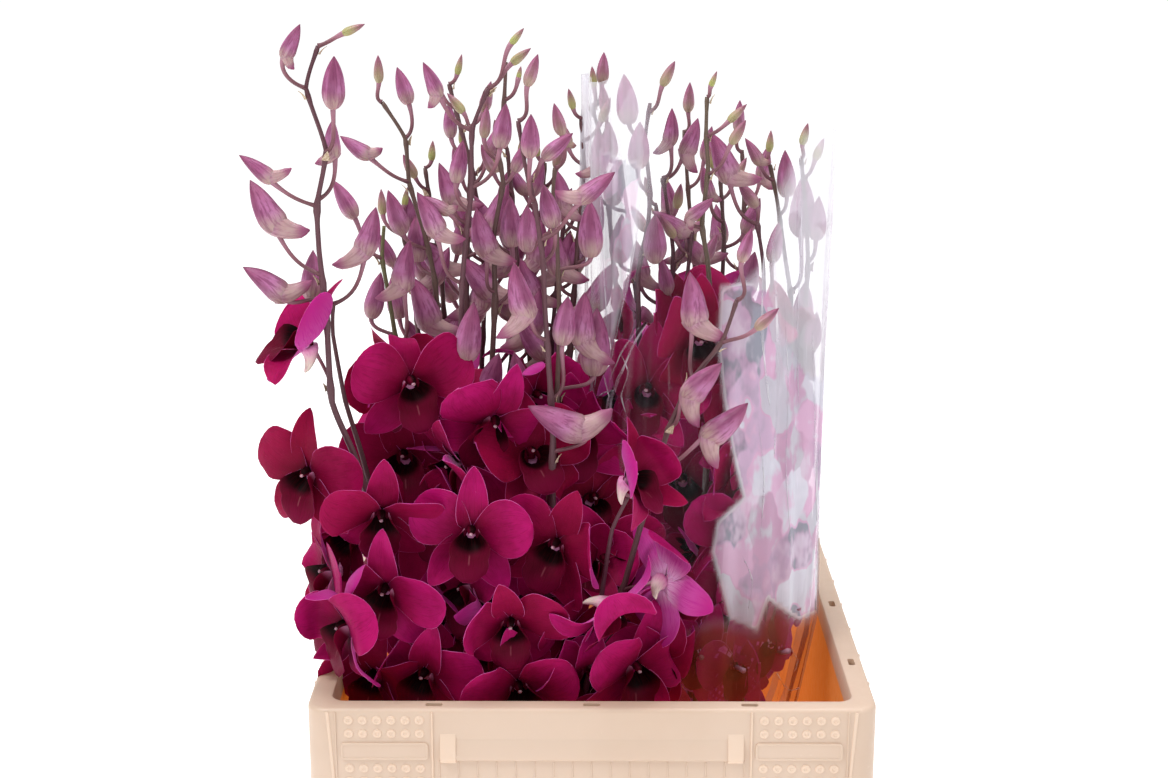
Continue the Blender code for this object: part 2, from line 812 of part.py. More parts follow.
def facing_frame(yaw, pitch, roll):
    """The turn that takes a flower's own axes to the world: +Z out of its face, +Y its top."""
    face = Vector(
        (math.sin(yaw) * math.cos(pitch), -math.cos(yaw) * math.cos(pitch), math.sin(pitch))
    )
    upright = Vector((0, 0, 1))
    right = upright.cross(face).normalized()
    top = face.cross(right)
    frame = Matrix((right, top, face)).transposed()
    return frame @ Matrix.Rotation(-roll, 3, "Z")


def flower_shape(centre, frame, size):
    """One open flower: five tepals in a shallow cup, with a lip and a boss behind."""
    outline = []
    for turn, length, spread, shoulder in TEPALS:
        outline.append((turn - spread, length * shoulder))
        outline.append((turn, length))
        outline.append((turn + spread, length * shoulder))
        outline.append((turn + TEPAL_GAP, NOTCH_REACH))
    forward = Vector((0, 0, 1))
    boss = []
    edge = []
    throat = []
    for turn, reach in outline:
        angle = math.radians(90 - turn)
        way = Vector((math.cos(angle), math.sin(angle), 0))
        boss.append(way * BOSS_RADIUS - forward * BOSS_LENGTH)
        edge.append((way + forward * CUP_RISE) * reach * size)
        throat.append(way * BOSS_RADIUS)
    back_edge = [point - forward * TEPAL_THICKNESS for point in edge]
    points, faces = skin([boss, back_edge, edge, throat])
    return [centre + frame @ point for point in points], faces


def settle_flower(flower, path, room):
    """The first small change of place, turn and size that leaves a flower and its stalk clear."""
    for size, turn, shift in itertools.product(FLOWER_SIZES, FLOWER_TURNS, FLOWER_SHIFTS):
        centre = seen_at(flower.pixel, (flower.behind + shift) / 1000)
        frame = facing_frame(
            math.radians(flower.yaw + turn),
            math.radians(flower.pitch + turn / 2),
            math.radians(flower.roll + turn),
        )
        shape = flower_shape(centre, frame, FLOWER_WIDTH * size)
        if room.is_clear(shape):
            own = Room()
            own.add("flower", shape)
            stalk = settle_pedicel(flower.spray, path, centre, frame, (room, own))
            if stalk:
                return shape, stalk
    raise ValueError(f"no clear place for the flower at {flower.pixel}")


def settle_bud(bud, spray, path, room):
    for shrink, swing in itertools.product(BUD_SIZES, BUD_SWINGS):
        shape = bud_unit(bud, spray, path, swing, shrink)
        if room.is_clear(shape, spray.name):
            return shape
    raise ValueError(f"no clear place for the bud at {bud.tip} of {spray.name}")


def settle_pedicel(owner, path, centre, frame, rooms):
    """A flower's stalk, from a point lower on the stem to just behind the flower, or None."""
    boss = centre - frame @ Vector((0, 0, BOSS_LENGTH + 2 * GAP))
    face = frame @ Vector((0, 0, 1))
    sideways = frame @ Vector((1, 0, 0))
    for drop, bow, bend in itertools.product(STALK_DROPS, STALK_BOWS, STALK_BENDS):
        joins = nearest_on(path, boss - Vector((0, 0, drop)))
        reach = min((boss - joins).length * bend, PEDICEL_REACH)
        leaving = joins + (boss - joins).normalized() * reach * PEDICEL_LEAVES + sideways * bow
        twig = bezier(joins, leaving, boss - face * reach, boss, TWIG_STEPS)
        shape = tube(twig, [TWIG_RADIUS] * len(twig), TWIG_SIDES)
        if all(room.is_clear(shape, owner) for room in rooms):
            return shape
    return None


def slots_in_order(sprays, tie):
    """Gives each spray its place in the tie: the front ones in front, from left to right."""
    slots = tie_slots(tie)
    by_depth = sorted(sprays, key=lambda spray: spray.behind)
    order = {}
    start = 0
    for count in TIE_ROWS:
        row = sorted(by_depth[start : start + count], key=lambda spray: spray.stem[-1][0])
        for place, spray in enumerate(row):
            order[spray.name] = slots[start + place]
        start += count
    return order


def make_sprays(stem_look, flower_look, room):
    sprays = FRONT_SPRAYS + SLEEVED_SPRAYS
    slots = slots_in_order(FRONT_SPRAYS, FRONT_TIE)
    slots.update(slots_in_order(SLEEVED_SPRAYS, SLEEVED_TIE))
    paths = {spray.name: stem_path(spray, slots[spray.name]) for spray in sprays}
    stems = {}
    for spray in sprays:
        path = paths[spray.name]
        stems[spray.name] = tube(path, stem_radii(path), STEM_SIDES)
        if not room.is_clear(stems[spray.name]):
            raise ValueError(f"the stem of {spray.name} runs into another")
        room.add(spray.name, stems[spray.name])

    twigs = {spray.name: [] for spray in sprays}
    for index, flower in enumerate(FLOWERS):
        shape, stalk = settle_flower(flower, paths[flower.spray], room)
        name = f"flower_{index + 1:02d}"
        add_object(name, *shape, flower_look)
        room.add(name, shape)
        twigs[flower.spray].append(stalk)
        room.add(flower.spray, stalk)
    for spray in sprays:
        for bud in spray.buds:
            shape = settle_bud(bud, spray, paths[spray.name], room)
            twigs[spray.name].append(shape)
            room.add(spray.name, shape)
    for spray in sprays:
        obj = add_object(spray.name, *stems[spray.name], stem_look)
        if twigs[spray.name]:
            tool = add_tool(spray.name + "_twigs", *joined(twigs[spray.name]), stem_look)
            combine(obj, tool, "UNION")


def main():
    clear_scene()
    crate_look = material("crate_plastic", (0.83, 0.62, 0.46), 0.45)
    film_look = material("clear_film", (0.93, 0.93, 0.96), 0.15, alpha=0.25)
    band_look = material("rubber_band", (0.62, 0.40, 0.22), 0.6)
    stem_look = material("stem_and_bud", (0.35, 0.12, 0.20), 0.5)
    flower_look = material("flower_tepal", (0.42, 0.015, 0.11), 0.55)
    room = Room()
    make_crate(crate_look, room)
    make_sleeve(film_look, room)
    make_tie("tie_front", FRONT_TIE, GAP, band_look, room)
    make_tie("tie_sleeved", SLEEVED_TIE, GAP * 2 + FILM_THICKNESS, band_look, room)
    make_sprays(stem_look, flower_look, room)


main()
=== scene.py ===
"""The looks of cut dendrobium orchid sprays in their flower crate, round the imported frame."""

import math
import random
from collections import namedtuple

import bmesh
import bpy
import numpy as np
from mathutils import Matrix, Vector
from mathutils.bvhtree import BVHTree


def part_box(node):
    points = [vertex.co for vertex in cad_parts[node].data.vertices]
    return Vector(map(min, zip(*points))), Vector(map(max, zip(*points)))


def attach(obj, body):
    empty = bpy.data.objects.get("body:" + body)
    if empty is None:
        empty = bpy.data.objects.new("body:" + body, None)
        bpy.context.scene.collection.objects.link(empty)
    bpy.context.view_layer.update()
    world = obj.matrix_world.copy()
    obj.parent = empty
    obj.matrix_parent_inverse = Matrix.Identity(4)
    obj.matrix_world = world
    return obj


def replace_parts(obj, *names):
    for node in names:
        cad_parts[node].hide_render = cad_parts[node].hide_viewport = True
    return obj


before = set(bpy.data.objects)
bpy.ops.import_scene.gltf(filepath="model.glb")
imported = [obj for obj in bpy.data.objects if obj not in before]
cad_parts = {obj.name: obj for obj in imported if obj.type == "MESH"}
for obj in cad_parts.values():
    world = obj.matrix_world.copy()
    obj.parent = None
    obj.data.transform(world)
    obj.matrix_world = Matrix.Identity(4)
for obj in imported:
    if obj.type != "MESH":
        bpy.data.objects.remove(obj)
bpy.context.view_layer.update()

MM = 0.001

# Crate sizes, as in the CAD model.
CRATE_WIDTH = 0.300
CRATE_LENGTH = 0.400
CRATE_HEIGHT = 0.235
RIM_WIDTH = 0.0125
RIM_TOP = 0.003
SKIRT_HEIGHT = 0.060
SKIRT_WALL = 0.0026
CRATE_WALL = 0.0028
FLOOR = 0.004
WALL_DRAFT = 0.003
POST_WIDTH = 0.026
SLOT_SIZE = (0.009, 0.0036)
END_SLOTS = (-0.083, 0.0, 0.083)
SIDE_SLOTS = (-0.135, -0.045, 0.045, 0.135)

# Mouldings that show in the photograph: the blank plates, the grip ledge and the gussets at its
# ends as (up, out) points, and the rows of small rings round the plates, with radius and out in mm.
PLATE_X = 0.1090
PLATE_Z = 0.2114
PLATE_SIZE = (0.0460, 0.0098)
PLATE_OUT = 0.0009
PLATE_CORNER = 0.0022
LEDGE_X = 0.0715
LEDGE = ((0.2195, -0.0003), (0.2088, 0.0019), (0.2070, 0.0019), (0.2056, -0.0003))
GUSSET = ((0.2225, -0.0003), (0.2092, 0.0026), (0.2068, 0.0026), (0.2042, -0.0003))
RING_ROWS = (0.2288, 0.2213, 0.2015, 0.1943, 0.1871)
RING_PITCH = 0.00745
RING_PROFILE = ((0.06, 0.24), (0.85, 0.26), (1.25, 0.60), (1.90, 0.64), (2.35, 0.40), (2.60, -0.2))

# Stems and ties, as in the CAD model.
GAP = 0.0003
FOOT_RADIUS = 0.0031
TIP_RADIUS = 0.0011
TIE_HEIGHT = 0.062
TIE_BAND = 0.005
SLOT_PITCH = 0.0072
TIE_ROWS = (3, 4, 3)
FRONT_TIE = Vector((-0.052, -0.095, 0.0))
SLEEVED_TIE = Vector((0.060, -0.062, 0.0))

# Steps to each stretch of a stem, and how round its bends are.
STEM_LINE = (7, 0.42)

# Film sleeve, as in the CAD model.
FILM_AXIS = Vector((0.0640, -0.062, 0.0))
FILM_HALF = (0.0712, 0.068)
FILM_LEVELS = (0.050, 0.074, 0.125, 0.178, 0.236, 0.330, 0.450, 0.566)
FILM_OPEN = (0.0, 0.0, 0.36, 0.78, 0.985, 1.0, 0.99, 1.0)
FILM_TOP = FILM_LEVELS[-1]

# Sleeved petals above this height are pressed to this share of the film's outline, or a little
# more.
PRESSED_ABOVE = 0.16
PRESSED_SHARE = 0.88
PRESSED_MORE = 0.035

# The photograph's view: pixels, metres and radians.
PHOTO_WIDTH = 1168
VIEW_CENTRE = (584, 389)
VIEW_FOCAL = 1946.7
VIEW_EYE = Vector((0.0, -1.142, 0.6535))
VIEW_PITCH = math.radians(14.6)
VIEW_YAW = math.radians(0.25)
VIEW_RIGHT = Vector((math.cos(VIEW_YAW), math.sin(VIEW_YAW), 0))
VIEW_LEVEL = Vector((-math.sin(VIEW_YAW), math.cos(VIEW_YAW), 0))
VIEW_AHEAD = VIEW_LEVEL * math.cos(VIEW_PITCH) - Vector((0, 0, math.sin(VIEW_PITCH)))
VIEW_UP = VIEW_RIGHT.cross(VIEW_AHEAD)

# joins, base and tip are pixels of a bud's stalk on the stem, its base and its point. chin is
# the side that its chin is on, and lean the depth in mm that it points away by.
Bud = namedtuple("Bud", "joins base tip chin lean")

# behind is a spray's depth in mm behind the crate's front face. stem runs from the top node
# down to where the flowers hide it, in pixels. green is how green the stem is.
Spray = namedtuple("Spray", "name behind green stem buds")


def pairs(numbers):
    return list(zip(numbers[::2], numbers[1::2]))


def numbered(first, *rows):
    """Sprays named from this number on, from rows of depth, green, stem and then its buds."""
    sprays = []
    for number, (behind, green, stem, *rest) in enumerate(rows, first):
        buds = [Bud(*pairs(bud[:6]), *bud[6:]) for bud in rest]
        sprays.append(Spray(f"spray_{number:02d}", behind, green, pairs(stem), buds))
    return tuple(sprays)


FRONT_SPRAYS = numbered(
    1,
    (44, 0.0, (318, 46, 306, 88, 326, 150, 317, 205, 319, 250, 326, 310, 332, 402, 357, 462),
     (318, 46, 342, 34, 365, 24, 0, 0), (306, 88, 283, 58, 300, 24, 1, -4),
     (327, 152, 333, 108, 334, 56, 0, -8), (320, 200, 335, 158, 333, 119, -1, 9),
     (316, 206, 272, 182, 239, 155, 1, -5), (320, 275, 277, 232, 250, 180, 1, 5),
     (323, 300, 285, 300, 243, 267, 1, -3), (327, 322, 312, 300, 313, 250, 0, 12)),
    (66, 0.1, (333, 302, 333, 335, 345, 400, 362, 455),
     (333, 304, 365, 256, 376, 207, -1, 4)),
    (88, 1.0, (384, 226, 382, 258, 388, 292, 396, 340, 408, 420, 412, 470),
     (382, 258, 355, 218, 333, 180, 0, 0), (395, 335, 371, 318, 381, 272, 0, 4),
     (396, 345, 405, 290, 410, 240, -1, -6)),
    (112, 0.35, (382, 102, 405, 138, 409, 182, 424, 232, 434, 275, 440, 330, 450, 400, 452, 450),
     (382, 102, 379, 83, 378, 55, 0, 0), (405, 138, 409, 104, 397, 67, 0, 4),
     (409, 182, 370, 158, 340, 136, 1, -4), (424, 250, 403, 234, 388, 190, 0, -5),
     (434, 276, 418, 262, 416, 215, 0, 8), (440, 345, 429, 330, 411, 276, 1, -6)),
    (74, 0.0, (488, 88, 472, 130, 472, 187, 467, 225, 462, 285, 461, 340, 458, 400, 460, 470),
     (488, 88, 510, 45, 524, 28, 0, 0), (488, 89, 511, 64, 531, 48, 0, 6),
     (472, 130, 440, 97, 423, 62, -1, -4), (472, 129, 464, 113, 447, 93, 0, 6),
     (472, 187, 500, 148, 506, 103, 0, 3), (469, 210, 456, 183, 463, 140, 0, 7),
     (466, 232, 450, 214, 420, 196, 1, 3), (462, 283, 437, 237, 417, 192, 1, -6),
     (458, 392, 465, 362, 474, 302, 0, -5)),
    (100, 0.25, (506, 62, 504, 102, 498, 150, 503, 183, 494, 235, 495, 300, 491, 385, 492, 440),
     (504, 100, 518, 80, 521, 66, 0, 0), (499, 160, 484, 138, 487, 106, 0, 4),
     (503, 185, 514, 172, 528, 140, 0, 8), (495, 292, 487, 257, 476, 208, 1, -4),
     (495, 305, 512, 247, 510, 196, 0, 5), (491, 425, 484, 402, 499, 353, -1, -9),
     (492, 428, 523, 402, 514, 352, 0, -5)),
    (58, 0.0, (518, 121, 525, 165, 535, 205, 543, 260, 545, 310, 551, 400, 553, 440),
     (518, 121, 527, 86, 538, 54, 0, 0), (534, 200, 530, 157, 531, 114, 0, -7),
     (540, 240, 580, 202, 615, 172, -1, -3), (528, 182, 543, 159, 573, 133, 0, 5),
     (543, 262, 554, 228, 543, 184, 0, 6), (547, 340, 530, 318, 514, 262, -1, -6),
     (549, 400, 562, 345, 568, 296, 0, 5), (552, 452, 584, 436, 528, 406, 1, -9)),
    (84, 0.3, (555, 168, 553, 192, 557, 240, 559, 300, 559, 350, 556, 410),
     (555, 168, 562, 135, 554, 103, 0, 0), (558, 270, 591, 257, 590, 200, 0, 4),
     (559, 330, 580, 346, 585, 292, 1, -4), (557, 390, 594, 375, 597, 308, 0, 5),
     (557, 232, 528, 252, 527, 205, 0, 6)),
    (50, 0.1, (737, 300, 722, 342, 690, 382, 668, 430, 655, 475, 645, 510),
     (737, 300, 741, 262, 752, 228, 0, 0), (722, 342, 756, 329, 779, 308, 0, -4),
     (693, 378, 692, 328, 690, 272, 1, 4), (667, 426, 684, 398, 722, 363, 1, -6),
     (657, 470, 703, 438, 748, 403, 1, -3)),
    (40, 0.0, (628, 497, 612, 530, 603, 585, 596, 640)),
)
SLEEVED_SPRAYS = numbered(
    11,
    (112, 0.0, (650, 103, 645, 140, 650, 190, 648, 225, 638, 275, 640, 350, 652, 430),
     (651, 112, 662, 86, 675, 61, 0, 0), (645, 140, 629, 124, 624, 74, 0, 5),
     (649, 192, 638, 168, 640, 122, 0, -5), (643, 250, 655, 262, 655, 214, 0, -8)),
    (130, 0.0, (663, 178, 667, 205, 673, 250, 672, 310, 668, 380, 668, 440),
     (663, 178, 671, 145, 672, 108, -1, -4), (663, 180, 683, 156, 698, 118, 1, 3),
     (673, 262, 684, 236, 652, 211, 1, 0)),
    (97, 0.5, (707, 97, 706, 135, 708, 170, 702, 225, 708, 265, 712, 330, 708, 420),
     (707, 97, 710, 88, 717, 71, 0, 0), (706, 136, 728, 122, 747, 104, 0, 3),
     (708, 174, 731, 144, 746, 120, 0, -4), (703, 228, 686, 219, 714, 198, 1, -3)),
    (116, 0.0, (757, 222, 763, 262, 764, 300, 758, 380, 748, 450),
     (757, 224, 729, 182, 712, 133, 1, -5), (758, 226, 757, 207, 738, 181, 0, 5),
     (764, 300, 772, 262, 779, 222, 0, 4)),
    (146, 0.4, (770, 165, 777, 200, 784, 250, 791, 300, 786, 370, 782, 440),
     (770, 165, 769, 152, 771, 130, 0, 0), (773, 180, 760, 165, 745, 138, 1, -4),
     (779, 215, 787, 197, 785, 150, 0, 5), (790, 290, 801, 236, 804, 174, 0, -9),
     (789, 345, 801, 330, 806, 281, 0, -4)),
    (124, 0.3, (801, 158, 805, 200, 808, 260, 804, 330, 796, 400, 790, 460),
     (801, 158, 802, 145, 808, 123, 0, 0), (803, 178, 815, 160, 824, 138, 0, 3),
     (808, 262, 816, 240, 819, 196, 0, 5), (803, 335, 810, 350, 817, 312, 0, -4),
     (791, 462, 800, 446, 801, 392, 0, -4)),
    (158, 0.3, (591, 106, 600, 135, 608, 200, 614, 270, 625, 360),
     (592, 106, 594, 88, 592, 66, 0, 0), (593, 108, 602, 84, 604, 52, 0, 4),
     (600, 137, 606, 114, 602, 84, 0, -4), (608, 205, 600, 172, 598, 130, 0, -4)),
    (144, 0.2, (620, 160, 627, 210, 634, 270, 640, 350),
     (620, 162, 610, 160, 609, 122, 0, -3), (626, 212, 612, 205, 618, 160, 0, 4),
     (634, 272, 620, 262, 622, 214, 0, -5)),
    (180, 0.3, (684, 130, 688, 190, 694, 260, 700, 340),
     (684, 132, 688, 112, 690, 82, 0, 0), (687, 188, 704, 160, 712, 126, 1, 3),
     (692, 240, 672, 214, 664, 176, -1, 3)),
    (176, 0.2, (742, 150, 744, 210, 740, 280, 736, 350),
     (742, 152, 738, 132, 740, 100, 0, 0), (744, 205, 760, 180, 768, 146, 1, 3),
     (741, 270, 722, 244, 716, 204, -1, 3)),
)
# More sprays behind those, without CAD nodes. Their buds grow along the stem by rule.
FRONT_EXTRAS = numbered(
    21,
    (122, 0.1, (449, 84, 458, 118, 470, 165, 468, 230, 466, 320, 462, 420)),
    (132, 0.2, (425, 168, 432, 215, 441, 270, 446, 350, 450, 430)),
    (126, 0.0, (507, 148, 513, 205, 517, 270, 512, 350, 506, 430)),
    (138, 0.3, (545, 163, 541, 215, 532, 280, 530, 350, 528, 430)),
    (120, 0.1, (581, 118, 584, 170, 578, 240, 572, 320, 566, 420)),
    (142, 0.0, (470, 152, 478, 210, 485, 280, 482, 360, 480, 430)),
    (118, 0.2, (398, 214, 410, 265, 418, 330, 426, 430)),
    (130, 0.0, (566, 208, 558, 270, 552, 340, 548, 430)),
)
SLEEVED_EXTRAS = numbered(
    29,
    (140, 0.0, (656, 205, 660, 260, 664, 330, 668, 420)),
    (152, 0.2, (720, 176, 724, 240, 720, 320, 716, 420)),
    (128, 0.0, (692, 232, 686, 290, 684, 350, 688, 430)),
)

# The film's milky parts, where it lies double and where a painted reflection whitens it: strength, soft
# edge and outline, in pixels.
MILKY = (
    (0.74, 3.0, (
        722, 288, 719, 345, 724, 395, 733, 450, 744, 498, 718, 522, 713, 552, 730, 618, 757, 630, 768, 598,
        780, 608, 799, 619, 832, 606, 836, 420, 836, 384, 806, 372, 784, 330, 770, 292, 745, 282,
    )),
    (0.52, 7.0, (
        745, 286, 770, 262, 784, 190, 806, 136, 836, 130, 836, 404, 800, 404, 765, 350,
    )),
    (0.62, 3.0, (
        598, 148, 643, 164, 635, 250, 615, 330, 607, 368, 601, 330, 598, 250,
    )),
    (0.4, 12.0, (
        556, 56, 642, 60, 660, 165, 640, 260, 600, 250, 560, 150,
    )),
)

# Painted light: where the film is painted orange, for the crate's wall glowing behind it.
PAINTED_WALL_GLOW = (
    676, 640, 716, 622, 757, 634, 768, 602, 799, 623, 836, 606, 846, 706, 664, 706, 640, 668,
)

# Sharp folds in the film: half width and height in mm, then the pixels along each.
FOLDS = (
    (0.7, 1.2, 561, 158, 563, 220, 566, 280, 572, 330, 580, 388),
    (1.2, 1.4, 567, 160, 569, 230, 573, 300, 582, 350, 591, 393),
    (0.6, 1.0, 574, 165, 575, 240, 579, 310, 587, 362),
    (0.5, 0.9, 585, 190, 586, 250, 590, 310, 596, 372, 592, 396),
    (0.5, 0.8, 600, 160, 602, 230, 606, 300, 609, 362), (0.5, 0.8, 643, 168, 636, 240, 622, 310, 610, 365),
    (1.1, 1.5, 648, 322, 634, 344, 622, 372, 611, 400, 612, 424, 618, 446),
    (0.6, 1.0, 640, 326, 622, 352, 608, 384), (0.5, 0.8, 596, 398, 606, 392, 616, 390),
    (0.5, 0.9, 620, 352, 628, 372, 622, 396, 628, 420), (0.7, 1.1, 603, 372, 609, 396, 604, 420),
    (1.8, 0.8, 772, 236, 776, 300, 778, 380, 774, 460), (1.0, 0.6, 764, 250, 762, 330, 770, 410),
    (1.0, 1.3, 812, 330, 815, 420, 817, 520, 816, 604), (0.6, 1.0, 800, 150, 801, 240, 797, 330, 799, 420),
    (0.5, 0.9, 784, 300, 788, 380, 786, 470, 792, 560), (0.6, 0.9, 758, 420, 764, 480, 760, 540),
    (0.6, 1.0, 742, 555, 752, 580, 748, 610), (0.8, 1.4, 776, 672, 788, 690, 803, 686),
    (0.6, 1.0, 790, 648, 797, 660, 794, 672),
)

# The open flowers that have CAD nodes, in their order: the number of its spray, and where it
# faces in degrees (yaw to the right, pitch up, roll clockwise). The first is turned by about 40
# degrees against its CAD node, to look as it does in the photograph.
FLOWERS = (
    (1, -66, 48, 0), (1, -28, -5, 5), (3, 20, -5, -8), (3, -5, 10, -10), (2, 5, -30, 5), (2, -15, -15, 10),
    (5, 2, -3, 5), (7, -18, -5, 20), (7, 15, 35, -10), (6, 0, -20, 0), (7, 40, -20, 20), (9, 125, -10, 50),
    (10, 60, -50, 20), (9, 60, 30, 10), (2, -60, -10, 0), (1, -70, -5, 10), (5, -20, 10, -30),
    (4, 10, 10, 0), (8, 10, 10, 0), (3, -20, -10, 10), (6, 10, -15, -10), (10, 30, -10, 10), (12, 0, 0, 0),
    (13, 5, -10, 0), (11, -10, 5, 10), (14, 15, 0, 10), (15, 40, 0, -10), (13, 10, 0, 20), (4, 170, 5, 0),
    (6, 175, 10, 20), (19, 185, 5, 0), (20, 165, 0, 10), (16, 85, 5, 0),
)

# Blooms without CAD nodes: the pixel of the throat, the depth in mm, yaw, pitch and roll.
FRONT_BLOOMS = (
    (590, 502, 84, 20, 15, 30), (374, 676, 54, -20, -18, 10), (352, 540, 80, -35, 0, 15),
    (604, 560, 70, 25, -10, -20), (655, 660, 56, 15, -20, 15), (590, 672, 46, 5, -25, 0),
    (340, 612, 96, -60, 10, 0), (592, 408, 128, 15, 20, 10),
)
SLEEVED_BLOOMS = (
    (618, 398, 118, -20, 10, 20), (628, 452, 96, -10, -5, -10), (742, 414, 104, 20, 10, 0),
    (776, 402, 120, 30, 20, 30), (806, 430, 130, 50, 0, -20), (742, 470, 92, 10, -10, 10),
    (776, 462, 98, 25, 5, -25), (738, 538, 86, 0, 0, 15), (772, 524, 90, 30, -15, 40),
    (806, 566, 104, 55, 0, 0), (766, 590, 86, 20, -10, -15), (800, 612, 92, 30, 10, 30),
    (736, 606, 88, -5, 10, 30), (790, 655, 78, 20, 10, 0), (700, 662, 74, 0, 0, 25),
    (745, 676, 70, 15, -15, -10),
)


def seen_at(pixel, behind):
    """The point seen at this pixel of the photograph, this far behind the crate's front."""
    across = (pixel[0] - VIEW_CENTRE[0]) / VIEW_FOCAL
    above = (VIEW_CENTRE[1] - pixel[1]) / VIEW_FOCAL
    ray = VIEW_AHEAD + VIEW_RIGHT * across + VIEW_UP * above
    return VIEW_EYE + ray * ((behind - CRATE_LENGTH / 2 - VIEW_EYE.y) / ray.y)


def pixels_of(points):
    """The photograph's pixels for points, the other way round."""
    offset = points - np.array(VIEW_EYE)
    scale = VIEW_FOCAL / (offset @ np.array(VIEW_AHEAD))
    across = VIEW_CENTRE[0] + scale * (offset @ np.array(VIEW_RIGHT))
    return across, VIEW_CENTRE[1] - scale * (offset @ np.array(VIEW_UP))


def inside_outline(across, down, numbers, soft):
    """How far inside an outline pixels are, from 0 outside to 1, over a soft edge."""
    outline = pairs(numbers)
    inside = np.zeros(across.shape, bool)
    nearest = np.full(across.shape, 1e9)
    for (x0, y0), (x1, y1) in zip(outline, outline[1:] + outline[:1]):
        wide, high = x1 - x0, y1 - y0
        crosses = (y0 > down) != (y1 > down)
        inside ^= crosses & (across < wide * (down - y0) / (high + 1e-9) + x0)
        share = np.clip(((across - x0) * wide + (down - y0) * high) / (wide**2 + high**2), 0, 1)
        nearest = np.minimum(nearest, np.hypot(across - x0 - share * wide, down - y0 - share * high))
    return np.clip(0.5 + np.where(inside, nearest, -nearest) / soft / 2, 0, 1)


# Mesh building. A point carries paint, four numbers from 0 to 1 that its material reads, and
# place, its own texture position in mm.


def stacked(shape, *values):
    """Numbers and arrays, each spread over this shape, as one array with a last axis of them."""
    return np.stack([np.broadcast_to(value, shape) for value in values], -1)


class Shape:
    """Points and faces collected for one piece."""

    def __init__(self):
        self.points, self.faces, self.looks, self.paint, self.place = [], [], [], [], []
        self.count = 0

    def add(self, points, faces, look=0, paint=(0, 0, 0, 0), place=None):
        points = np.asarray(points, float).reshape(-1, 3)
        paint = np.asarray(paint, float).reshape(-1, 4)
        self.points.append(points)
        self.faces += [[int(index) + self.count for index in face] for face in faces]
        self.looks += [look] * len(faces)
        self.paint.append(np.broadcast_to(paint, (len(points), 4)))
        self.place.append(np.reshape(points / MM if place is None else place, (-1, 3)))
        self.count += len(points)

    def mesh(self, name):
        mesh = bpy.data.meshes.new(name)
        mesh.from_pydata(np.concatenate(self.points).tolist(), [], self.faces)
        return mesh


def linked(name, data):
    """A new object in the scene."""
    obj = bpy.data.objects.new(name, data)
    bpy.context.scene.collection.objects.link(obj)
    return obj


def piece(name, shape, materials):
    """The object made from a shape, riding on the row's only body."""
    mesh = shape.mesh(name)
    mesh.update()
    for look in materials:
        mesh.materials.append(look)
    mesh.polygons.foreach_set("material_index", shape.looks)
    mesh.polygons.foreach_set("use_smooth", [True] * len(mesh.polygons))
    for label, kind, field, values in (
        ("paint", "FLOAT_COLOR", "color", shape.paint),
        ("place", "FLOAT_VECTOR", "vector", shape.place),
    ):
        data = mesh.attributes.new(label, kind, "POINT").data
        data.foreach_set(field, np.concatenate(values).astype(np.float32).ravel())
    obj = linked(name, mesh)
    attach(obj, "root")
    return obj


def unit(array):
    return array / (np.linalg.norm(array, axis=-1, keepdims=True) + 1e-12)


def strip_faces(rows, columns, start=0, wrap=False):
    """Quads over a grid of points, facing along columns crossed with rows."""
    faces = []
    for low in range(start, start + (rows - 1) * columns, columns):
        for here in range(columns if wrap else columns - 1):
            after = (here + 1) % columns
            faces.append((low + here, low + after, low + columns + after, low + columns + here))
    return faces


def tube_faces(rows, sides):
    """The faces of a closed tube: its wall, its first end and its last."""
    last = (rows - 1) * sides
    return strip_faces(rows, sides, wrap=True) + [range(sides)[::-1], range(last, last + sides)]


def leaf_solid(grid, thickness):
    """A thin closed solid round a grid of points: points, faces."""
    rows, columns, _ = grid.shape
    normal = unit(np.cross(np.gradient(grid, axis=1), np.gradient(grid, axis=0)))
    half = normal * thickness[..., None] / 2
    amount = rows * columns
    faces = strip_faces(rows, columns)
    faces += [face[::-1] for face in strip_faces(rows, columns, amount)]
    front = np.arange(amount).reshape(rows, columns)
    edge = [*front[0], *front[1:, -1], *front[-1, -2::-1], *front[-2:0:-1, 0]]
    for here, after in zip(edge, edge[1:] + edge[:1]):
        faces.append((here, here + amount, after + amount, after))
    return np.concatenate([(grid + half).reshape(-1, 3), (grid - half).reshape(-1, 3)]), faces


def tube_points(path, radii, sides):
    """Rings round a path that turn with it, as an array of rings by sides by 3."""
    ahead = unit(np.gradient(path, axis=0))
    across = np.array((1.0, 0.0, 0.0))
    if abs(ahead[0] @ across) > 0.9:
        across = np.array((0.0, 1.0, 0.0))
    turns = np.arange(sides) * math.tau / sides
    rings = []
    for point, way, radius in zip(path, ahead, radii):
        across = unit(across - way * (across @ way))
        ring = np.outer(np.cos(turns), across) + np.outer(np.sin(turns), np.cross(way, across))
        rings.append(point + ring * radius)
    return np.array(rings)


def lengths_along(line):
    """How far along a line each of its points is."""
    steps = np.linalg.norm(np.diff(line, axis=0), axis=1)
    return np.concatenate([[0.0], np.cumsum(steps)])


def add_rings(shape, rings, look, paint, place):
    """Rings of points as a capped solid, with values for its paint and its place."""
    grid = rings.shape[:2]
    shape.add(rings, tube_faces(*grid), look, stacked(grid, *paint), stacked(grid, *place))


def add_tube(shape, path, radii, sides, look, paint, start=0.0):
    """A capped round rod, painted along its path. Its place is (turn, length, start) in mm."""
    rings = tube_points(path, radii, sides)
    paint = [np.reshape(value, (-1, 1)) for value in paint]
    along = lengths_along(path)[:, None] / MM
    add_rings(shape, rings, look, paint, (np.arange(sides) / sides * 12, along, start))


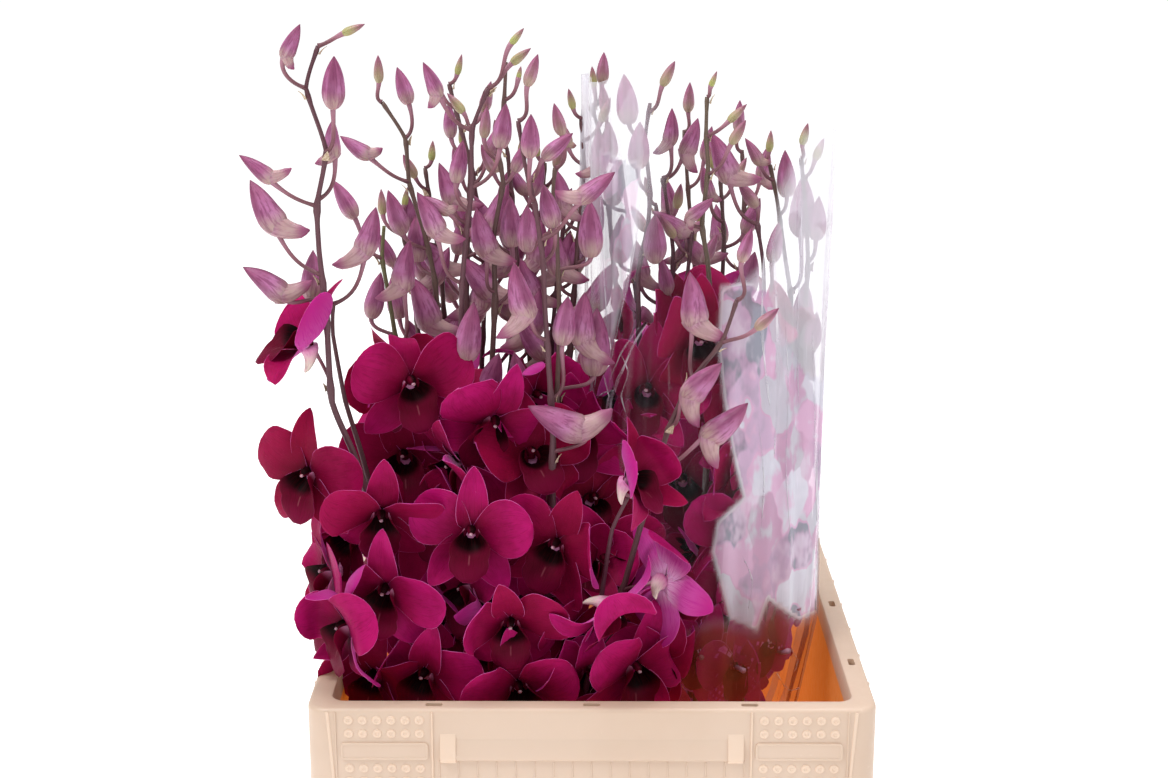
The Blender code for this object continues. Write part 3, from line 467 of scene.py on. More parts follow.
def add_ball(shape, centre, axes, look, paint):
    """An ellipsoid whose three half axes are the rows of axes."""
    grid = (8, 10)
    tilt = math.pi * (0.02 + 0.96 * np.linspace(0, 1, grid[0]))[:, None]
    turn = math.tau * np.arange(grid[1]) / grid[1]
    ways = stacked(grid, np.sin(tilt) * np.cos(turn), np.sin(tilt) * np.sin(turn), -np.cos(tilt))
    faces = tube_faces(*grid)
    if np.linalg.det(axes) < 0:
        faces = [face[::-1] for face in faces]
    shape.add(centre + ways @ axes, faces, look, paint)


def curve_between(start, leaving, arriving, end, steps):
    """A curve that leaves its start towards one point, and arrives at its end from another."""
    t = np.linspace(0, 1, steps + 1)[:, None]
    start, leaving, arriving, end = (np.asarray(p, float) for p in (start, leaving, arriving, end))
    middle = leaving * 3 * t * (1 - t) ** 2 + arriving * 3 * t * t * (1 - t)
    return start * (1 - t) ** 3 + middle + end * t**3


def through(points, steps, slack):
    """A line through points, steps to each stretch: slack 1 is smooth, and 0 is straight."""
    points = [np.asarray(p, float) for p in points]
    line = []
    for before, here, after, last in zip(
        points[:1] + points, points, points[1:], points[2:] + points[-1:]
    ):
        for step in range(steps):
            t = step / steps
            smooth = 0.5 * (
                2 * here
                + (after - before) * t
                + (2 * before - 5 * here + 4 * after - last) * t * t
                + (3 * here - before - 3 * after + last) * t**3
            )
            line.append(smooth * slack + (here + (after - here) * t) * (1 - slack))
    return np.array(line + points[-1:])


def facing_frame(yaw, pitch, roll):
    """The turn from a flower's own axes to the world: +Z out of its face, +Y its top."""
    yaw, pitch, roll = (math.radians(angle) for angle in (yaw, pitch, roll))
    level = math.cos(pitch)
    face = Vector((math.sin(yaw) * level, -math.cos(yaw) * level, math.sin(pitch)))
    right = Vector((0, 0, 1)).cross(face).normalized()
    turn = Matrix((right, face.cross(right), face)).transposed()
    return np.array(turn @ Matrix.Rotation(-roll, 3, "Z"))


# Flowers. Lengths are mm in a flower that is 66 mm wide.

TEPAL_THICK = 0.55
LIP_THICK = 0.6
LIP_LENGTH = 26

# Where the columns of a tepal's grid are, as shares of its half width.
HALF_COLUMNS = np.array((0.12, 0.36, 0.62, 0.85, 0.965, 1.0))
TEPAL_COLUMNS = np.concatenate([-HALF_COLUMNS[::-1], HALF_COLUMNS])
COARSE_COLUMNS = np.array((-1.0, -0.93, -0.6, -0.2, 0.2, 0.6, 0.93, 1.0))
PETAL_WIDEST = 0.60


def sepal_width(t):
    """A pointed oval's half width as a share of its widest."""
    bulge = 4 * t**0.9 * (1 - t**0.9)
    return np.maximum(bulge, 0) ** 0.72 + 0.46 * (1 - t) ** 3


def petal_width(t):
    """A round petal on a narrow claw."""
    claw = 0.27 + 0.73 * np.sin(np.minimum(t / PETAL_WIDEST, 1) * math.pi / 2)
    past = np.clip((t - PETAL_WIDEST) / (1 - PETAL_WIDEST), 0, 1)
    return claw * np.sqrt(np.maximum(1 - past**2.2, 0))


def tepal_rows(kind, fine):
    if kind == "petal":
        low = np.linspace(0, PETAL_WIDEST, 8 if fine else 5)[:-1]
        high = PETAL_WIDEST + (1 - PETAL_WIDEST) * np.sin(np.linspace(0, math.pi / 2, 7 if fine else 5))
        return np.concatenate([low, high])
    return 1 - np.linspace(1, 0, 13 if fine else 9) ** 1.25


def tepal_grid(kind, length, width, bends, cup, twist, wave, phase, fine):
    """A petal or sepal that grows along +Y with its face to +Z: grid, distance to edge, t."""
    lift, curl, tip_curl, fold, sway = bends
    t = tepal_rows(kind, fine)
    v = TEPAL_COLUMNS if fine else COARSE_COLUMNS
    half = (petal_width(t) if kind == "petal" else sepal_width(t)) * width / 2
    half = np.maximum(half, 0.25)
    bent = np.clip((t - 0.42) / 0.34, 0, 1)
    tilt = lift + curl * t + tip_curl * t**4 + fold * bent * bent * (3 - 2 * bent)
    steps = np.diff(t, prepend=0.0) * length
    cos, sin = np.cos(tilt), np.sin(tilt)
    middle = stacked(len(t), sway * t**2, np.cumsum(cos * steps), np.cumsum(sin * steps))
    out = stacked(len(t), 0, -sin, cos)
    side = np.cross(stacked(len(t), 0, cos, sin), out)
    spin = (twist * t**1.3)[:, None]
    across = side * np.cos(spin) + out * np.sin(spin)
    normal = out * np.cos(spin) - side * np.sin(spin)
    offset = v * half[:, None]
    t = t[:, None]
    ripple = np.sin(t * 9.0 + phase) + 0.5 * np.sin(t * 17 + phase * 2.3)
    rise = cup * offset**2 - 0.5 * np.exp(-((v / 0.16) ** 2)) * np.sin(t * math.pi) ** 0.5
    rise = rise + wave * np.abs(v) ** 2.5 * ripple * np.sign(v + 0.3)
    grid = middle[:, None] + across[:, None] * offset[..., None] + normal[:, None] * rise[..., None]
    edge = np.minimum((1 - np.abs(v)) * half[:, None], (1 - t) * length)
    return grid, edge, t


def lip_grid(fine):
    """The lip: a tube round the column that opens into a round mid-lobe below."""
    rows = 22 if fine else 14
    t = np.linspace(0, 1, rows)
    v = TEPAL_COLUMNS if fine else COARSE_COLUMNS
    centre = curve_between((0, -1.5, -3), (0, -5.5, 2.5), (0, -8.5, 12), (0, -24.5, 11.5), rows - 1)
    tangent = unit(np.gradient(centre, axis=0))
    inward = stacked(rows, 0, tangent[:, 2], -tangent[:, 1])
    knots = (0.0, 0.12, 0.30, 0.42, 0.52, 0.62, 0.74, 0.86, 0.95, 1.0)
    widths = (9.0, 11.5, 15.0, 16.5, 13.5, 11.0, 11.4, 10.2, 6.2, 2.6)
    bends = (0.23, 0.20, 0.145, 0.105, 0.075, 0.040, 0.006, -0.02, -0.03, -0.03)
    half = np.interp(t, knots, widths)[:, None]
    bend = np.interp(t, knots, bends)[:, None]
    bend = np.where(np.abs(bend) < 1e-3, 1e-3, bend)
    turn = v * half * bend
    t = t[:, None]
    keel = 0.5 * np.exp(-((v / 0.07) ** 2)) * np.clip(np.sin((t - 0.40) * 5.5), 0, 1)
    rise = (1 - np.cos(turn)) / bend + keel
    grid = centre[:, None] + inward[:, None] * rise[..., None]
    grid[..., 0] -= np.sin(turn) / bend
    edge = np.minimum((1 - np.abs(v)) * half, (1 - t) * LIP_LENGTH)
    return grid, edge, t


def add_leaf(shape, grid, edge, t, thickness, to_world, look, tint, seed):
    """A tepal's grid as a thin solid, painted by side, distance to the edge, height and tint."""
    points, faces = leaf_solid(grid, thickness * (0.30 + 0.70 * np.clip(edge / 2.0, 0, 1)))
    both = (2, *edge.shape)
    columns = TEPAL_COLUMNS if edge.shape[1] == len(TEPAL_COLUMNS) else COARSE_COLUMNS
    front = np.array((1.0, 0.0))[:, None, None]
    paint = stacked(both, front, np.clip(edge / 10.0, 0, 1), t, tint)
    shape.add(to_world(points), faces, look, paint, stacked(both, columns, t, seed))


# The five tepals: kind, clock turn in degrees, length, width, and the height of its base.
TEPALS = (
    ("sepal", 0, 38.0, 16.5, -1.4),
    ("sepal", 140, 36.0, 18.5, -1.6),
    ("sepal", 220, 36.0, 18.5, -1.6),
    ("petal", 66, 34.0, 35.5, 0.2),
    ("petal", 294, 34.0, 35.5, 0.2),
)
CUPS = {"petal": (-0.012, 0.026), "sepal": (0.006, 0.050)}
WAVES = {"petal": (0.4, 1.2), "sepal": (0.1, 0.5)}
TEPAL_FOLDS = (-1.25, -0.8, 0.9, 1.5)

# How a flower is open: the tepals' lift, curl and tip curl in radians, then twist, size, and how
# much its tepals differ.
Pose = namedtuple("Pose", "lift curl tip twist size spread")
OPEN = Pose(0.20, -0.10, -0.30, 0.32, 1.0, 1.0)
NEAT = Pose(0.14, -0.06, -0.30, 0.15, 1.0, 0.55)
HALF_OPEN = Pose(0.75, -0.25, 0.1, 0.25, 0.9, 1.0)
IN_FILM = Pose(0.30, -0.12, -0.30, 0.32, 0.92, 1.0)

# The flowers with CAD nodes that aren't plainly open, by their place in FLOWERS.
POSES = {1: NEAT, 4: NEAT, 6: NEAT, 7: NEAT, 13: HALF_OPEN}


def add_flower(shape, centre, turn, pose, seed, fine):
    """One flower with its column, lip and spur. Returns where its stalk joins it."""
    draw = random.Random(seed)
    size = pose.size * draw.uniform(0.95, 1.04) * MM

    def to_world(points):
        return centre + (np.asarray(points, float) * size) @ turn.T

    tint = draw.uniform(0.0, 1.0)
    for kind, clock, length, width, base in TEPALS:
        lift = pose.lift + draw.uniform(-0.22, 0.30) * pose.spread
        curl = pose.curl + draw.uniform(-0.40, 0.35) * pose.spread
        tip_curl = pose.tip + draw.uniform(-0.7, 0.6) * pose.spread
        twist = draw.uniform(-1, 1) * pose.twist * (1.0 if kind == "petal" else 2.2)
        cup = draw.uniform(*CUPS[kind])
        wave = draw.uniform(*WAVES[kind])
        fold = draw.choice(TEPAL_FOLDS) if draw.random() < 0.40 * pose.spread else 0.0
        bends = (lift, curl, tip_curl, fold, draw.uniform(-4.5, 4.5) * pose.spread)
        phase = draw.uniform(0, 6)
        grid, edge, t = tepal_grid(kind, length, width, bends, cup, twist, wave, phase, fine)
        angle = -math.radians(clock + draw.uniform(-10, 10) * pose.spread)
        grid = (grid + np.array((0, 2.5, base))) @ np.array(Matrix.Rotation(angle, 3, "Z")).T
        shade = min(1.0, max(0.0, tint + draw.uniform(-0.2, 0.2)))
        add_leaf(shape, grid, edge, t, TEPAL_THICK, to_world, 0, shade, seed % 97 + clock)

    add_leaf(shape, *lip_grid(fine), LIP_THICK, to_world, 1, tint, seed % 97)

    column = curve_between((0, 1.5, -2), (0, 4.2, 0), (0, 4.4, 3), (0, 2.9, 5.8), 6)
    widths = np.array((2.6, 2.6, 2.5, 2.4, 2.4, 2.2, 1.5)) * size
    add_tube(shape, to_world(column), widths, 8, 1, (1, 0.5, 0.1, tint))
    cap = np.array(((1.15, 0, 0), (0, 0.85, -0.4), (0, 0.3, 0.8))) * size
    add_ball(shape, to_world((0, 2.5, 6.3)), cap @ turn.T, 2, (1, 1, 1, tint))

    spur = curve_between((0, 1.0, -2.5), (0, -1.0, -7), (0, -5.0, -10.5), (0, -10.5, -11.5), 7)
    widths = np.array((5.2, 4.9, 4.2, 3.4, 2.7, 2.1, 1.5, 0.5)) * size
    add_tube(shape, to_world(spur), widths, 9, 3, (0, 1, np.linspace(0, 1, 8), tint))
    return to_world((0, 2.2, -4.5)), -turn[:, 2]


def add_stalk(shape, path, widths, look, start):
    """A thin stalk with a width in mm at its foot, near it, near its end and at its end."""
    height = np.linspace(0, 1, len(path))
    radii = np.interp(height, (0, 0.12, 0.7, 1), widths) * MM
    add_tube(shape, path, radii, 7, look, (0, height, height, 0.5), start)


def add_flower_stalk(shape, joins, boss, back):
    """The stalk from a stem to just behind a flower's spur."""
    reach = np.linalg.norm(boss - joins)
    bend = min(reach * 0.45, 0.024)
    arriving = boss + unit(back + np.array((0, 0, -0.5))) * bend
    leaving = joins + unit(unit(boss - joins) + np.array((0, 0, 0.2))) * bend * 0.8
    path = curve_between(joins, leaving, arriving, boss - back * 0.002, 12)
    add_stalk(shape, path, (1.35, 0.95, 1.0, 1.7), 4, reach * 999)


def add_bud_stalk(shape, joins, base, axis, seed):
    away = unit(np.array((base[0] - joins[0], base[1] - joins[1], 0.0)))
    reach = np.linalg.norm(base - joins) * 0.45
    leaving = joins + unit(away + np.array((0, 0, 0.30))) * reach
    path = curve_between(joins, leaving, base - axis * reach * 0.8, base + axis * 0.0015, 12)
    add_stalk(shape, path, (1.45, 1.05, 1.10, 1.60), 2, seed)


# Stems.

# How far above its tie a stem starts to bend, and how much of its height it rises first.
BEND_ABOVE = 0.012
BEND_RISE = 0.27

# Feet of the extra front stems, in mm from the front tie, on the floor round its back.
EXTRA_FEET = ((-19, 8), (-14, 15), (-6, 17), (2, 17), (10, 16), (17, 12), (21, 4), (-21, 0))

# Where the sleeved extras branch off: the sprays, and the height above the crate's base.
EXTRA_HOSTS = ("spray_12", "spray_19", "spray_13")
BRANCH_HEIGHT = 0.105

# The row of pixels below which the extras, front and sleeved, have no more buds.
FRONT_BUDS_END = 392
SLEEVED_BUDS_END = 330


def tie_slots(tie):
    """Where a tie's stems stand, in rows from the front."""
    slots = []
    for row, count in enumerate(TIE_ROWS):
        y = (row - (len(TIE_ROWS) - 1) / 2) * SLOT_PITCH * math.sin(math.pi / 3)
        for place in range(count):
            slots.append(tie + Vector(((place - (count - 1) / 2) * SLOT_PITCH, y, 0)))
    return slots


def slots_in_order(sprays, tie):
    """A slot for each spray: the front sprays in the front row, and each row from the left."""
    slots = tie_slots(tie)
    by_depth = sorted(sprays, key=lambda spray: spray.behind)
    order = {}
    for count in TIE_ROWS:
        row = by_depth[len(order) : len(order) + count]
        for spray in sorted(row, key=lambda spray: spray.stem[-1][0]):
            order[spray.name] = slots[len(order)]
    return order


def seen_nodes(spray):
    return [seen_at(pixel, spray.behind * MM) for pixel in reversed(spray.stem)]


def stem_nodes(spray, slot):
    """The stem's points: its foot, the hidden bend above the tie, and the nodes that show."""
    seen = seen_nodes(spray)
    foot = Vector((slot.x, slot.y, FLOOR + GAP))
    tied = Vector((slot.x, slot.y, TIE_HEIGHT + TIE_BAND + BEND_ABOVE))
    height = seen[0].z - tied.z
    leaving = tied + Vector((0, 0, height * BEND_RISE))
    upward = ((seen[1] - seen[0]).normalized() + Vector((0, 0, 0.6))).normalized()
    hidden = curve_between(tied, leaving, seen[0] - upward * height * 0.45, seen[0], 4)
    return [foot, *hidden, *seen[1:]]


def shoot_nodes(spray, host):
    """A sleeved extra's points: it leaves another spray's stem just above the tie."""
    seen = [np.array(point) for point in seen_nodes(spray)]
    start = host[int(np.argmin(np.abs(host[:, 2] - BRANCH_HEIGHT)))]
    rise = np.array((0.0, 0.0, seen[0][2] - start[2]))
    hidden = curve_between(start, start + rise * 0.3, seen[0] - rise * 0.35, seen[0], 5)
    return [*hidden, *seen[1:]]


def grown_buds(spray, seed, last):
    """Buds up a stem by rule, in pixels: small at its top, larger and further apart below."""
    draw = random.Random(seed)
    line = through([(x, y, 0.0) for x, y in spray.stem], 8, STEM_LINE[1])
    along = lengths_along(line)
    buds = []
    place = 0.0
    length = draw.uniform(18, 24)
    hand = draw.choice((-1, 1))
    while place < along[-1]:
        x = float(np.interp(place, along, line[:, 0]))
        y = float(np.interp(place, along, line[:, 1]))
        if y > last:
            break
        tilt = math.radians(draw.uniform(4, 40))
        reach = 8 + length * draw.uniform(0.40, 0.65)
        if place == 0:
            tilt *= 0.4
            reach = 10
        base = (x + hand * reach * draw.uniform(0.5, 0.9), y - reach * draw.uniform(0.6, 0.9))
        tip = (base[0] + hand * math.sin(tilt) * length, base[1] - math.cos(tilt) * length)
        chin = -hand if draw.random() < 0.5 and length > 30 else 0
        buds.append(Bud((x, y), base, tip, chin, draw.uniform(-8, 8)))
        hand = -hand
        place += 9 + length * draw.uniform(0.50, 0.72)
        length = min(length + draw.uniform(3.5, 6.5), 50)
    return buds


def nearest_on(path, point):
    """The nearest point of a line, and how far along the line it is."""
    starts = path[:-1]
    along = path[1:] - starts
    t = np.clip(np.sum((point - starts) * along, 1) / np.sum(along * along, 1), 0, 1)
    places = starts + along * t[:, None]
    index = int(np.argmin(np.linalg.norm(places - point, axis=1)))
    return places[index], index


def add_bract(shape, place, ahead, outward, size, tint):
    """The dry papery scale at a stem's node."""
    t = np.linspace(0, 1, 5)[:, None, None]
    v = np.linspace(-1, 1, 5)[:, None]
    width = size * 0.42 * (1 - t) ** 0.7 + 0.0001
    lean = outward * (0.0012 + size * 0.38 * t * t - np.abs(v) * 0.0007 * (1 - t))
    grid = place + ahead * size * t + np.cross(ahead, outward) * v * width + lean
    points, faces = leaf_solid(grid, np.full(grid.shape[:2], 0.00025))
    shape.add(points, faces, 1, (0, 0.5, 0.5, tint))


def add_stem(shape, green, path, joints, draw):
    """The rachis, with a swelling and a dry scale at each joint."""
    height = path[:, 2] / path[-1][2]
    share = np.maximum(0.0, 1 - height)
    radii = (TIP_RADIUS + (FOOT_RADIUS - TIP_RADIUS) * share**0.8) * 0.86
    for index, _ in joints:
        spread = np.linalg.norm(path - path[index], axis=1)
        radii = radii * (1 + 0.38 * np.exp(-((spread / 0.0032) ** 2)))
    paint = (green, height, height, draw.random())
    add_tube(shape, path, radii, 9, 0, paint, draw.uniform(0, 90))
    for index, outward in joints:
        if path[index][2] < CRATE_HEIGHT * 0.5 or draw.random() < 0.35:
            continue
        ahead = unit(path[min(index + 1, len(path) - 1)] - path[max(index - 1, 0)])
        flat = unit(outward - ahead * (outward @ ahead))
        place = path[index] + flat * radii[index] * 0.8 - ahead * 0.001
        add_bract(shape, place, ahead, flat, draw.uniform(0.0035, 0.006), draw.random())


# Buds.

# Along a bud's chin, from its start to its end: where, and how wide or how it is painted there.
CHIN_WIDTHS = ((0, 0.25, 0.5, 0.68, 0.80, 0.90, 1), (0.96, 0.90, 0.72, 0.58, 0.50, 0.30, 0.07))
CHIN_TONES = ((0, 0.2, 0.45, 0.60, 0.88, 1), (0, 0.20, 0.56, 0.66, 1, 1))


def add_bud(shape, base, tip, chin_way, chin, seed, green):
    """A closed bud: three sepals round a point, and a chin that juts from its foot."""
    draw = random.Random(seed)
    rows, sides = 18, 16
    length = np.linalg.norm(tip - base)
    axis = (tip - base) / length
    across = unit(chin_way - axis * (chin_way @ axis))
    other = np.cross(axis, across)
    grown = float(np.clip((length - 0.011) / 0.012, 0, 1))
    big = float(np.clip((length - 0.012) / 0.014, 0, 1))
    width = length * (draw.uniform(0.33, 0.39) + 0.09 * big) / 2
    t = np.concatenate([[0.0, 0.012, 0.04, 0.085], np.linspace(0.14, 1, rows - 4)])[:, None]
    blunt = np.sqrt(np.clip(1 - (1 - np.clip(t / 0.30, 0, 1)) ** 2 * 0.80, 0, 1))
    taper = np.maximum(1 - np.clip((t - 0.22) / 0.78, 0, 1) ** draw.uniform(1.9, 2.3), 0) ** 0.90
    girth = np.maximum(blunt * taper, 0.03)
    turns = np.arange(sides) * math.tau / sides
    bow = draw.uniform(-0.06, 0.02) * length
    seam = np.abs(np.cos(1.5 * turns))
    ridge = girth * width * (1 + 0.050 * np.cos(3 * turns) - 0.030 * seam**8)
    facing = ((1 + np.cos(turns)) / 2) ** 2
    swell = chin * grown * width * 0.30 * np.exp(-(((t - 0.12) / 0.20) ** 2)) * facing
    centre = base + axis * length * t - across * bow * np.sin(math.pi * t)
    reach = ((ridge + swell) * np.cos(turns))[..., None] * across
    points = centre[:, None] + reach + (ridge * np.sin(turns))[..., None] * other
    paint = (seam, np.clip(swell / width, 0, 1) * 0.5, t, green)
    number = seed % 89
    add_rings(shape, points, 0, paint, (turns / math.tau * 14, t * length / MM, number))

    jut = length * draw.uniform(0.66, 0.80) * chin * grown
    if jut > length * 0.12:
        start = base + axis * length * 0.20 + across * width * 0.05
        end = start + unit(across * 0.77 - axis * draw.uniform(0.42, 0.72)) * jut
        leaving = start + unit(across * 0.35 - axis) * jut * 0.25
        arriving = end - unit(across * 0.93 - axis * 0.15) * jut * 0.38
        path = curve_between(start, leaving, arriving, end, 10)
        share = np.linspace(0, 1, len(path))
        rings = tube_points(path, np.interp(share, *CHIN_WIDTHS) * width, 10)
        rings = rings - ((rings - path[:, None]) @ other)[..., None] * other * 0.16
        paint = (0.5, np.interp(share, *CHIN_TONES)[:, None], 0.2, green)
        along = share[:, None] * jut / MM
        add_rings(shape, rings, 0, paint, (np.arange(10) * 1.2, along, number))


def add_bud_at(buds, stem, bud, behind, path, seed):
    """A bud and its stalk. Returns where it joins the stem, and the way from there to it."""
    behind = behind * MM
    joins, index = nearest_on(path, np.array(seen_at(bud.joins, behind)))
    base = np.array(seen_at(bud.base, behind + bud.lean * MM * 0.7))
    tip = np.array(seen_at(bud.tip, behind + bud.lean * MM * 1.3))
    axis = unit(tip - base)
    add_bud_stalk(stem, joins, base, axis, seed)
    toward = np.array((0.0, -1.0, 0.0))
    chin_way = np.cross(axis, toward) * bud.chin if bud.chin else toward
    green = float(np.clip((0.019 - np.linalg.norm(tip - base)) / 0.008, 0, 1))
    add_bud(buds, base, tip, chin_way, 1.0 if bud.chin else 0.25, seed, green)
    return index, base - joins


# Materials.


class Nodes:
    """A short way to wire one material's nodes."""

    def __init__(self, name):
        self.look = bpy.data.materials.new(name)
        self.look.use_nodes = True
        self.tree = self.look.node_tree
        self.shader = self.tree.nodes["Principled BSDF"]

    def put(self, socket, value):
        """Links a socket to another, or sets it to a number, three numbers or a colour."""
        if hasattr(value, "links"):
            self.tree.links.new(value, socket)
        else:
            socket.default_value = (*value, 1) if socket.type == "RGBA" else value

    def make(self, kind, inputs=(), **values):
        """A node with these settings, and with these inputs, by name or by number."""
        node = self.tree.nodes.new(kind)
        for key, value in values.items():
            setattr(node, key, value)
        for key, value in dict(inputs).items():
            self.put(node.inputs[key], value)
        return node

    def math(self, operation, a, b=0.0, clamp=False):
        node = self.make("ShaderNodeMath", {0: a, 1: b}, operation=operation, use_clamp=clamp)
        return node.outputs[0]

    def times(self, *values):
        product = values[0]
        for value in values[1:]:
            product = self.math("MULTIPLY", product, value)
        return product

    def span(self, value, low, high, to_low=0.0, to_high=1.0):
        inputs = dict(enumerate((value, low, high, to_low, to_high)))
        node = self.make("ShaderNodeMapRange", inputs, interpolation_type="SMOOTHSTEP")
        return node.outputs[0]

    def mix(self, share, a, b):
        return self.make("ShaderNodeMix", {0: share, 6: a, 7: b}, data_type="RGBA").outputs[2]

    def over(self, colour, *layers):
        """Colours laid over one another, each with the value it follows and that one's span."""
        for value, *span, top in layers:
            colour = self.mix(self.span(value, *span), colour, top)
        return colour

    def paint(self):
        node = self.make("ShaderNodeAttribute", attribute_name="paint")
        split = self.make("ShaderNodeSeparateColor", {0: node.outputs["Color"]})
        return (*split.outputs[:3], node.outputs["Alpha"])

    def place(self, *scale):
        node = self.make("ShaderNodeAttribute", attribute_name="place")
        inputs = {0: node.outputs["Vector"], 1: scale}
        return self.make("ShaderNodeVectorMath", inputs, operation="MULTIPLY").outputs[0]

    def noise(self, vector, scale, detail=3.0, roughness=0.55, output="Fac"):
        """Noise over a place, or over the object's own coordinates if there is none."""
        if vector is None:
            vector = self.make("ShaderNodeTexCoord").outputs["Object"]
        inputs = {"Vector": vector, "Scale": scale, "Detail": detail, "Roughness": roughness}
        return self.make("ShaderNodeTexNoise", inputs).outputs[output]

    def skin(self, colour, rough, specular=0.5, scatter=(), glow=(), bump=None, **others):
        """Sets the shader and returns the material. scatter is subsurface weight, scale and
        radius, glow a colour and strength, and bump a height, strength and distance in m."""
        inputs = {"Base Color": colour, "Roughness": rough, "Specular IOR Level": specular}
        inputs.update(zip(("Subsurface Weight", "Subsurface Scale", "Subsurface Radius"), scatter))
        inputs.update(zip(("Emission Color", "Emission Strength"), glow))
        inputs.update(others)
        if bump:
            inputs["Normal"] = self.make(
                "ShaderNodeBump", zip(("Height", "Strength", "Distance"), bump)
            ).outputs[0]
        for name, value in inputs.items():
            self.put(self.shader.inputs[name], value)
        return self.look


def tepal_look():
    """Velvet crimson in front, lilac with veins behind, and a thin pale edge line. The front has painted
    shade toward its base, painted light toward its tip, and a painted glow.
    """
    n = Nodes("tepal")
    side, edge, height, tint = n.paint()
    veins = n.noise(n.place(9.0, 1.6, 1.0), 2.6, 2.0, 0.6)
    patches = n.noise(None, 90.0)
    speckle = n.noise(None, 1500.0, 2.0)
    # The two crimsons below are shaded and lit copies of one colour: mixed by height, they paint shade
    # near the base and light toward the tip.
    deep = n.mix(tint, (0.150, 0.0010, 0.018), (0.215, 0.0016, 0.042))
    painted_lit_crimson = n.mix(tint, (0.245, 0.0016, 0.036), (0.430, 0.0070, 0.140))
    front = n.over(
        n.mix(n.span(height, 0.10, 0.95), deep, painted_lit_crimson),
        # Painted shade: near black over the base, where the throat's shadow falls on the tepal.
        (height, 0.0, 0.24, 0.85, 0.0, (0.030, 0.0004, 0.004)),
        (patches, 0.35, 0.75, 0.0, 0.40, (0.120, 0.0006, 0.014)),
        (veins, 0.52, 0.66, 0.0, 0.30, (0.100, 0.0004, 0.014)),
        (speckle, 0.60, 0.75, 0.0, 0.16, (0.55, 0.02, 0.16)),
    )
    back = n.over(
        (0.64, 0.36, 0.56),
        (height, 0.0, 0.42, (0.46, 0.060, 0.28)),
        (height, 0.45, 1.0, (0.38, 0.014, 0.17)),
        (veins, 0.48, 0.62, 0.0, 0.55, (0.36, 0.012, 0.20)),
    )
    rim = n.times(n.span(edge, 0.004, 0.026, 1.0, 0.0), n.span(patches, 0.40, 0.60, 0.20, 0.80))
    colour = n.mix(rim, n.mix(n.span(side, 0.35, 0.65), back, front), (0.62, 0.14, 0.40))
    nap = n.math("ADD", n.times(veins, 0.7), n.times(speckle, 0.5))
    sheen = {"Sheen Weight": 0.09, "Sheen Roughness": 0.35, "Sheen Tint": (1.0, 0.12, 0.62)}
    # Painted light: the front glows a little in its own colour, standing in for light through the thin
    # tepal.
    return n.skin(
        colour, n.span(patches, 0.3, 0.7, 0.50, 0.64), 0.06, (0.20, 0.0016, (1.0, 0.06, 0.30)),
        (colour, 0.09), (nap, 0.35, 0.0004), **sheen,
    )


def lip_look():
    """A dark throat, painted near black as shade in its hollow, crimson on the mid-lobe, with a short pale
    keel.
    """
    n = Nodes("lip")
    side, edge, height, _ = n.paint()
    place = n.make("ShaderNodeAttribute", attribute_name="place")
    split = n.make("ShaderNodeSeparateXYZ", {0: place.outputs["Vector"]})
    across = n.math("ABSOLUTE", split.outputs[0])
    veins = n.noise(n.place(14.0, 1.2, 1.0), 2.2, 2.0)
    depth = n.math("ADD", height, n.times(across, 0.10))
    # Painted shade: the dark throat is deepened to near black in the hollow, and lightens to crimson out
    # of it.
    front = n.over(
        (0.008, 0.0002, 0.001),
        (depth, 0.40, 0.60, (0.100, 0.0008, 0.015)),
        (height, 0.60, 0.95, (0.150, 0.0012, 0.028)),
        (veins, 0.5, 0.66, 0.0, 0.35, (0.06, 0.0004, 0.006)),
    )
    outside = n.mix(n.span(height, 0.04, 0.26), (0.56, 0.22, 0.38), (0.130, 0.0016, 0.020))
    colour = n.mix(n.span(side, 0.35, 0.65), outside, front)
    ends = n.times(n.span(height, 0.52, 0.60), n.span(height, 0.70, 0.76, 1.0, 0.0))
    keel = n.times(n.span(across, 0.015, 0.055, 1.0, 0.0), ends, 0.16)
    rim = n.times(n.span(edge, 0.006, 0.030, 0.4, 0.0), n.span(height, 0.5, 0.7))
    colour = n.mix(rim, n.mix(keel, colour, (0.62, 0.20, 0.24)), (0.50, 0.05, 0.20))
    rough = n.span(veins, 0.3, 0.7, 0.48, 0.62)
    scatter = (0.12, 0.0012, (1.0, 0.10, 0.30))
    return n.skin(colour, rough, 0.06, scatter, bump=(veins, 0.4, 0.0004))


def cap_look():
    """The pale anther cap."""
    n = Nodes("anther_cap")
    patches = n.span(n.noise(None, 700.0), 0.35, 0.7)
    colour = n.mix(patches, (0.34, 0.14, 0.20), (0.56, 0.36, 0.42))
    return n.skin(colour, 0.42, scatter=(0.15, 0.001))


def spur_look():
    """The pale, slightly green spur behind a flower."""
    n = Nodes("spur")
    _, _, height, _ = n.paint()
    veins = n.noise(n.place(1.2, 0.12, 1.0), 1.6, 2.0)
    colour = n.over(
        (0.60, 0.20, 0.40),
        (height, 0.0, 0.75, (0.72, 0.60, 0.52)),
        (veins, 0.5, 0.65, 0.0, 0.35, (0.42, 0.10, 0.24)),
    )
    scatter = (0.2, 0.0015, (1.0, 0.4, 0.5))
    return n.skin(colour, 0.48, scatter=scatter, bump=(veins, 0.3, 0.0003))


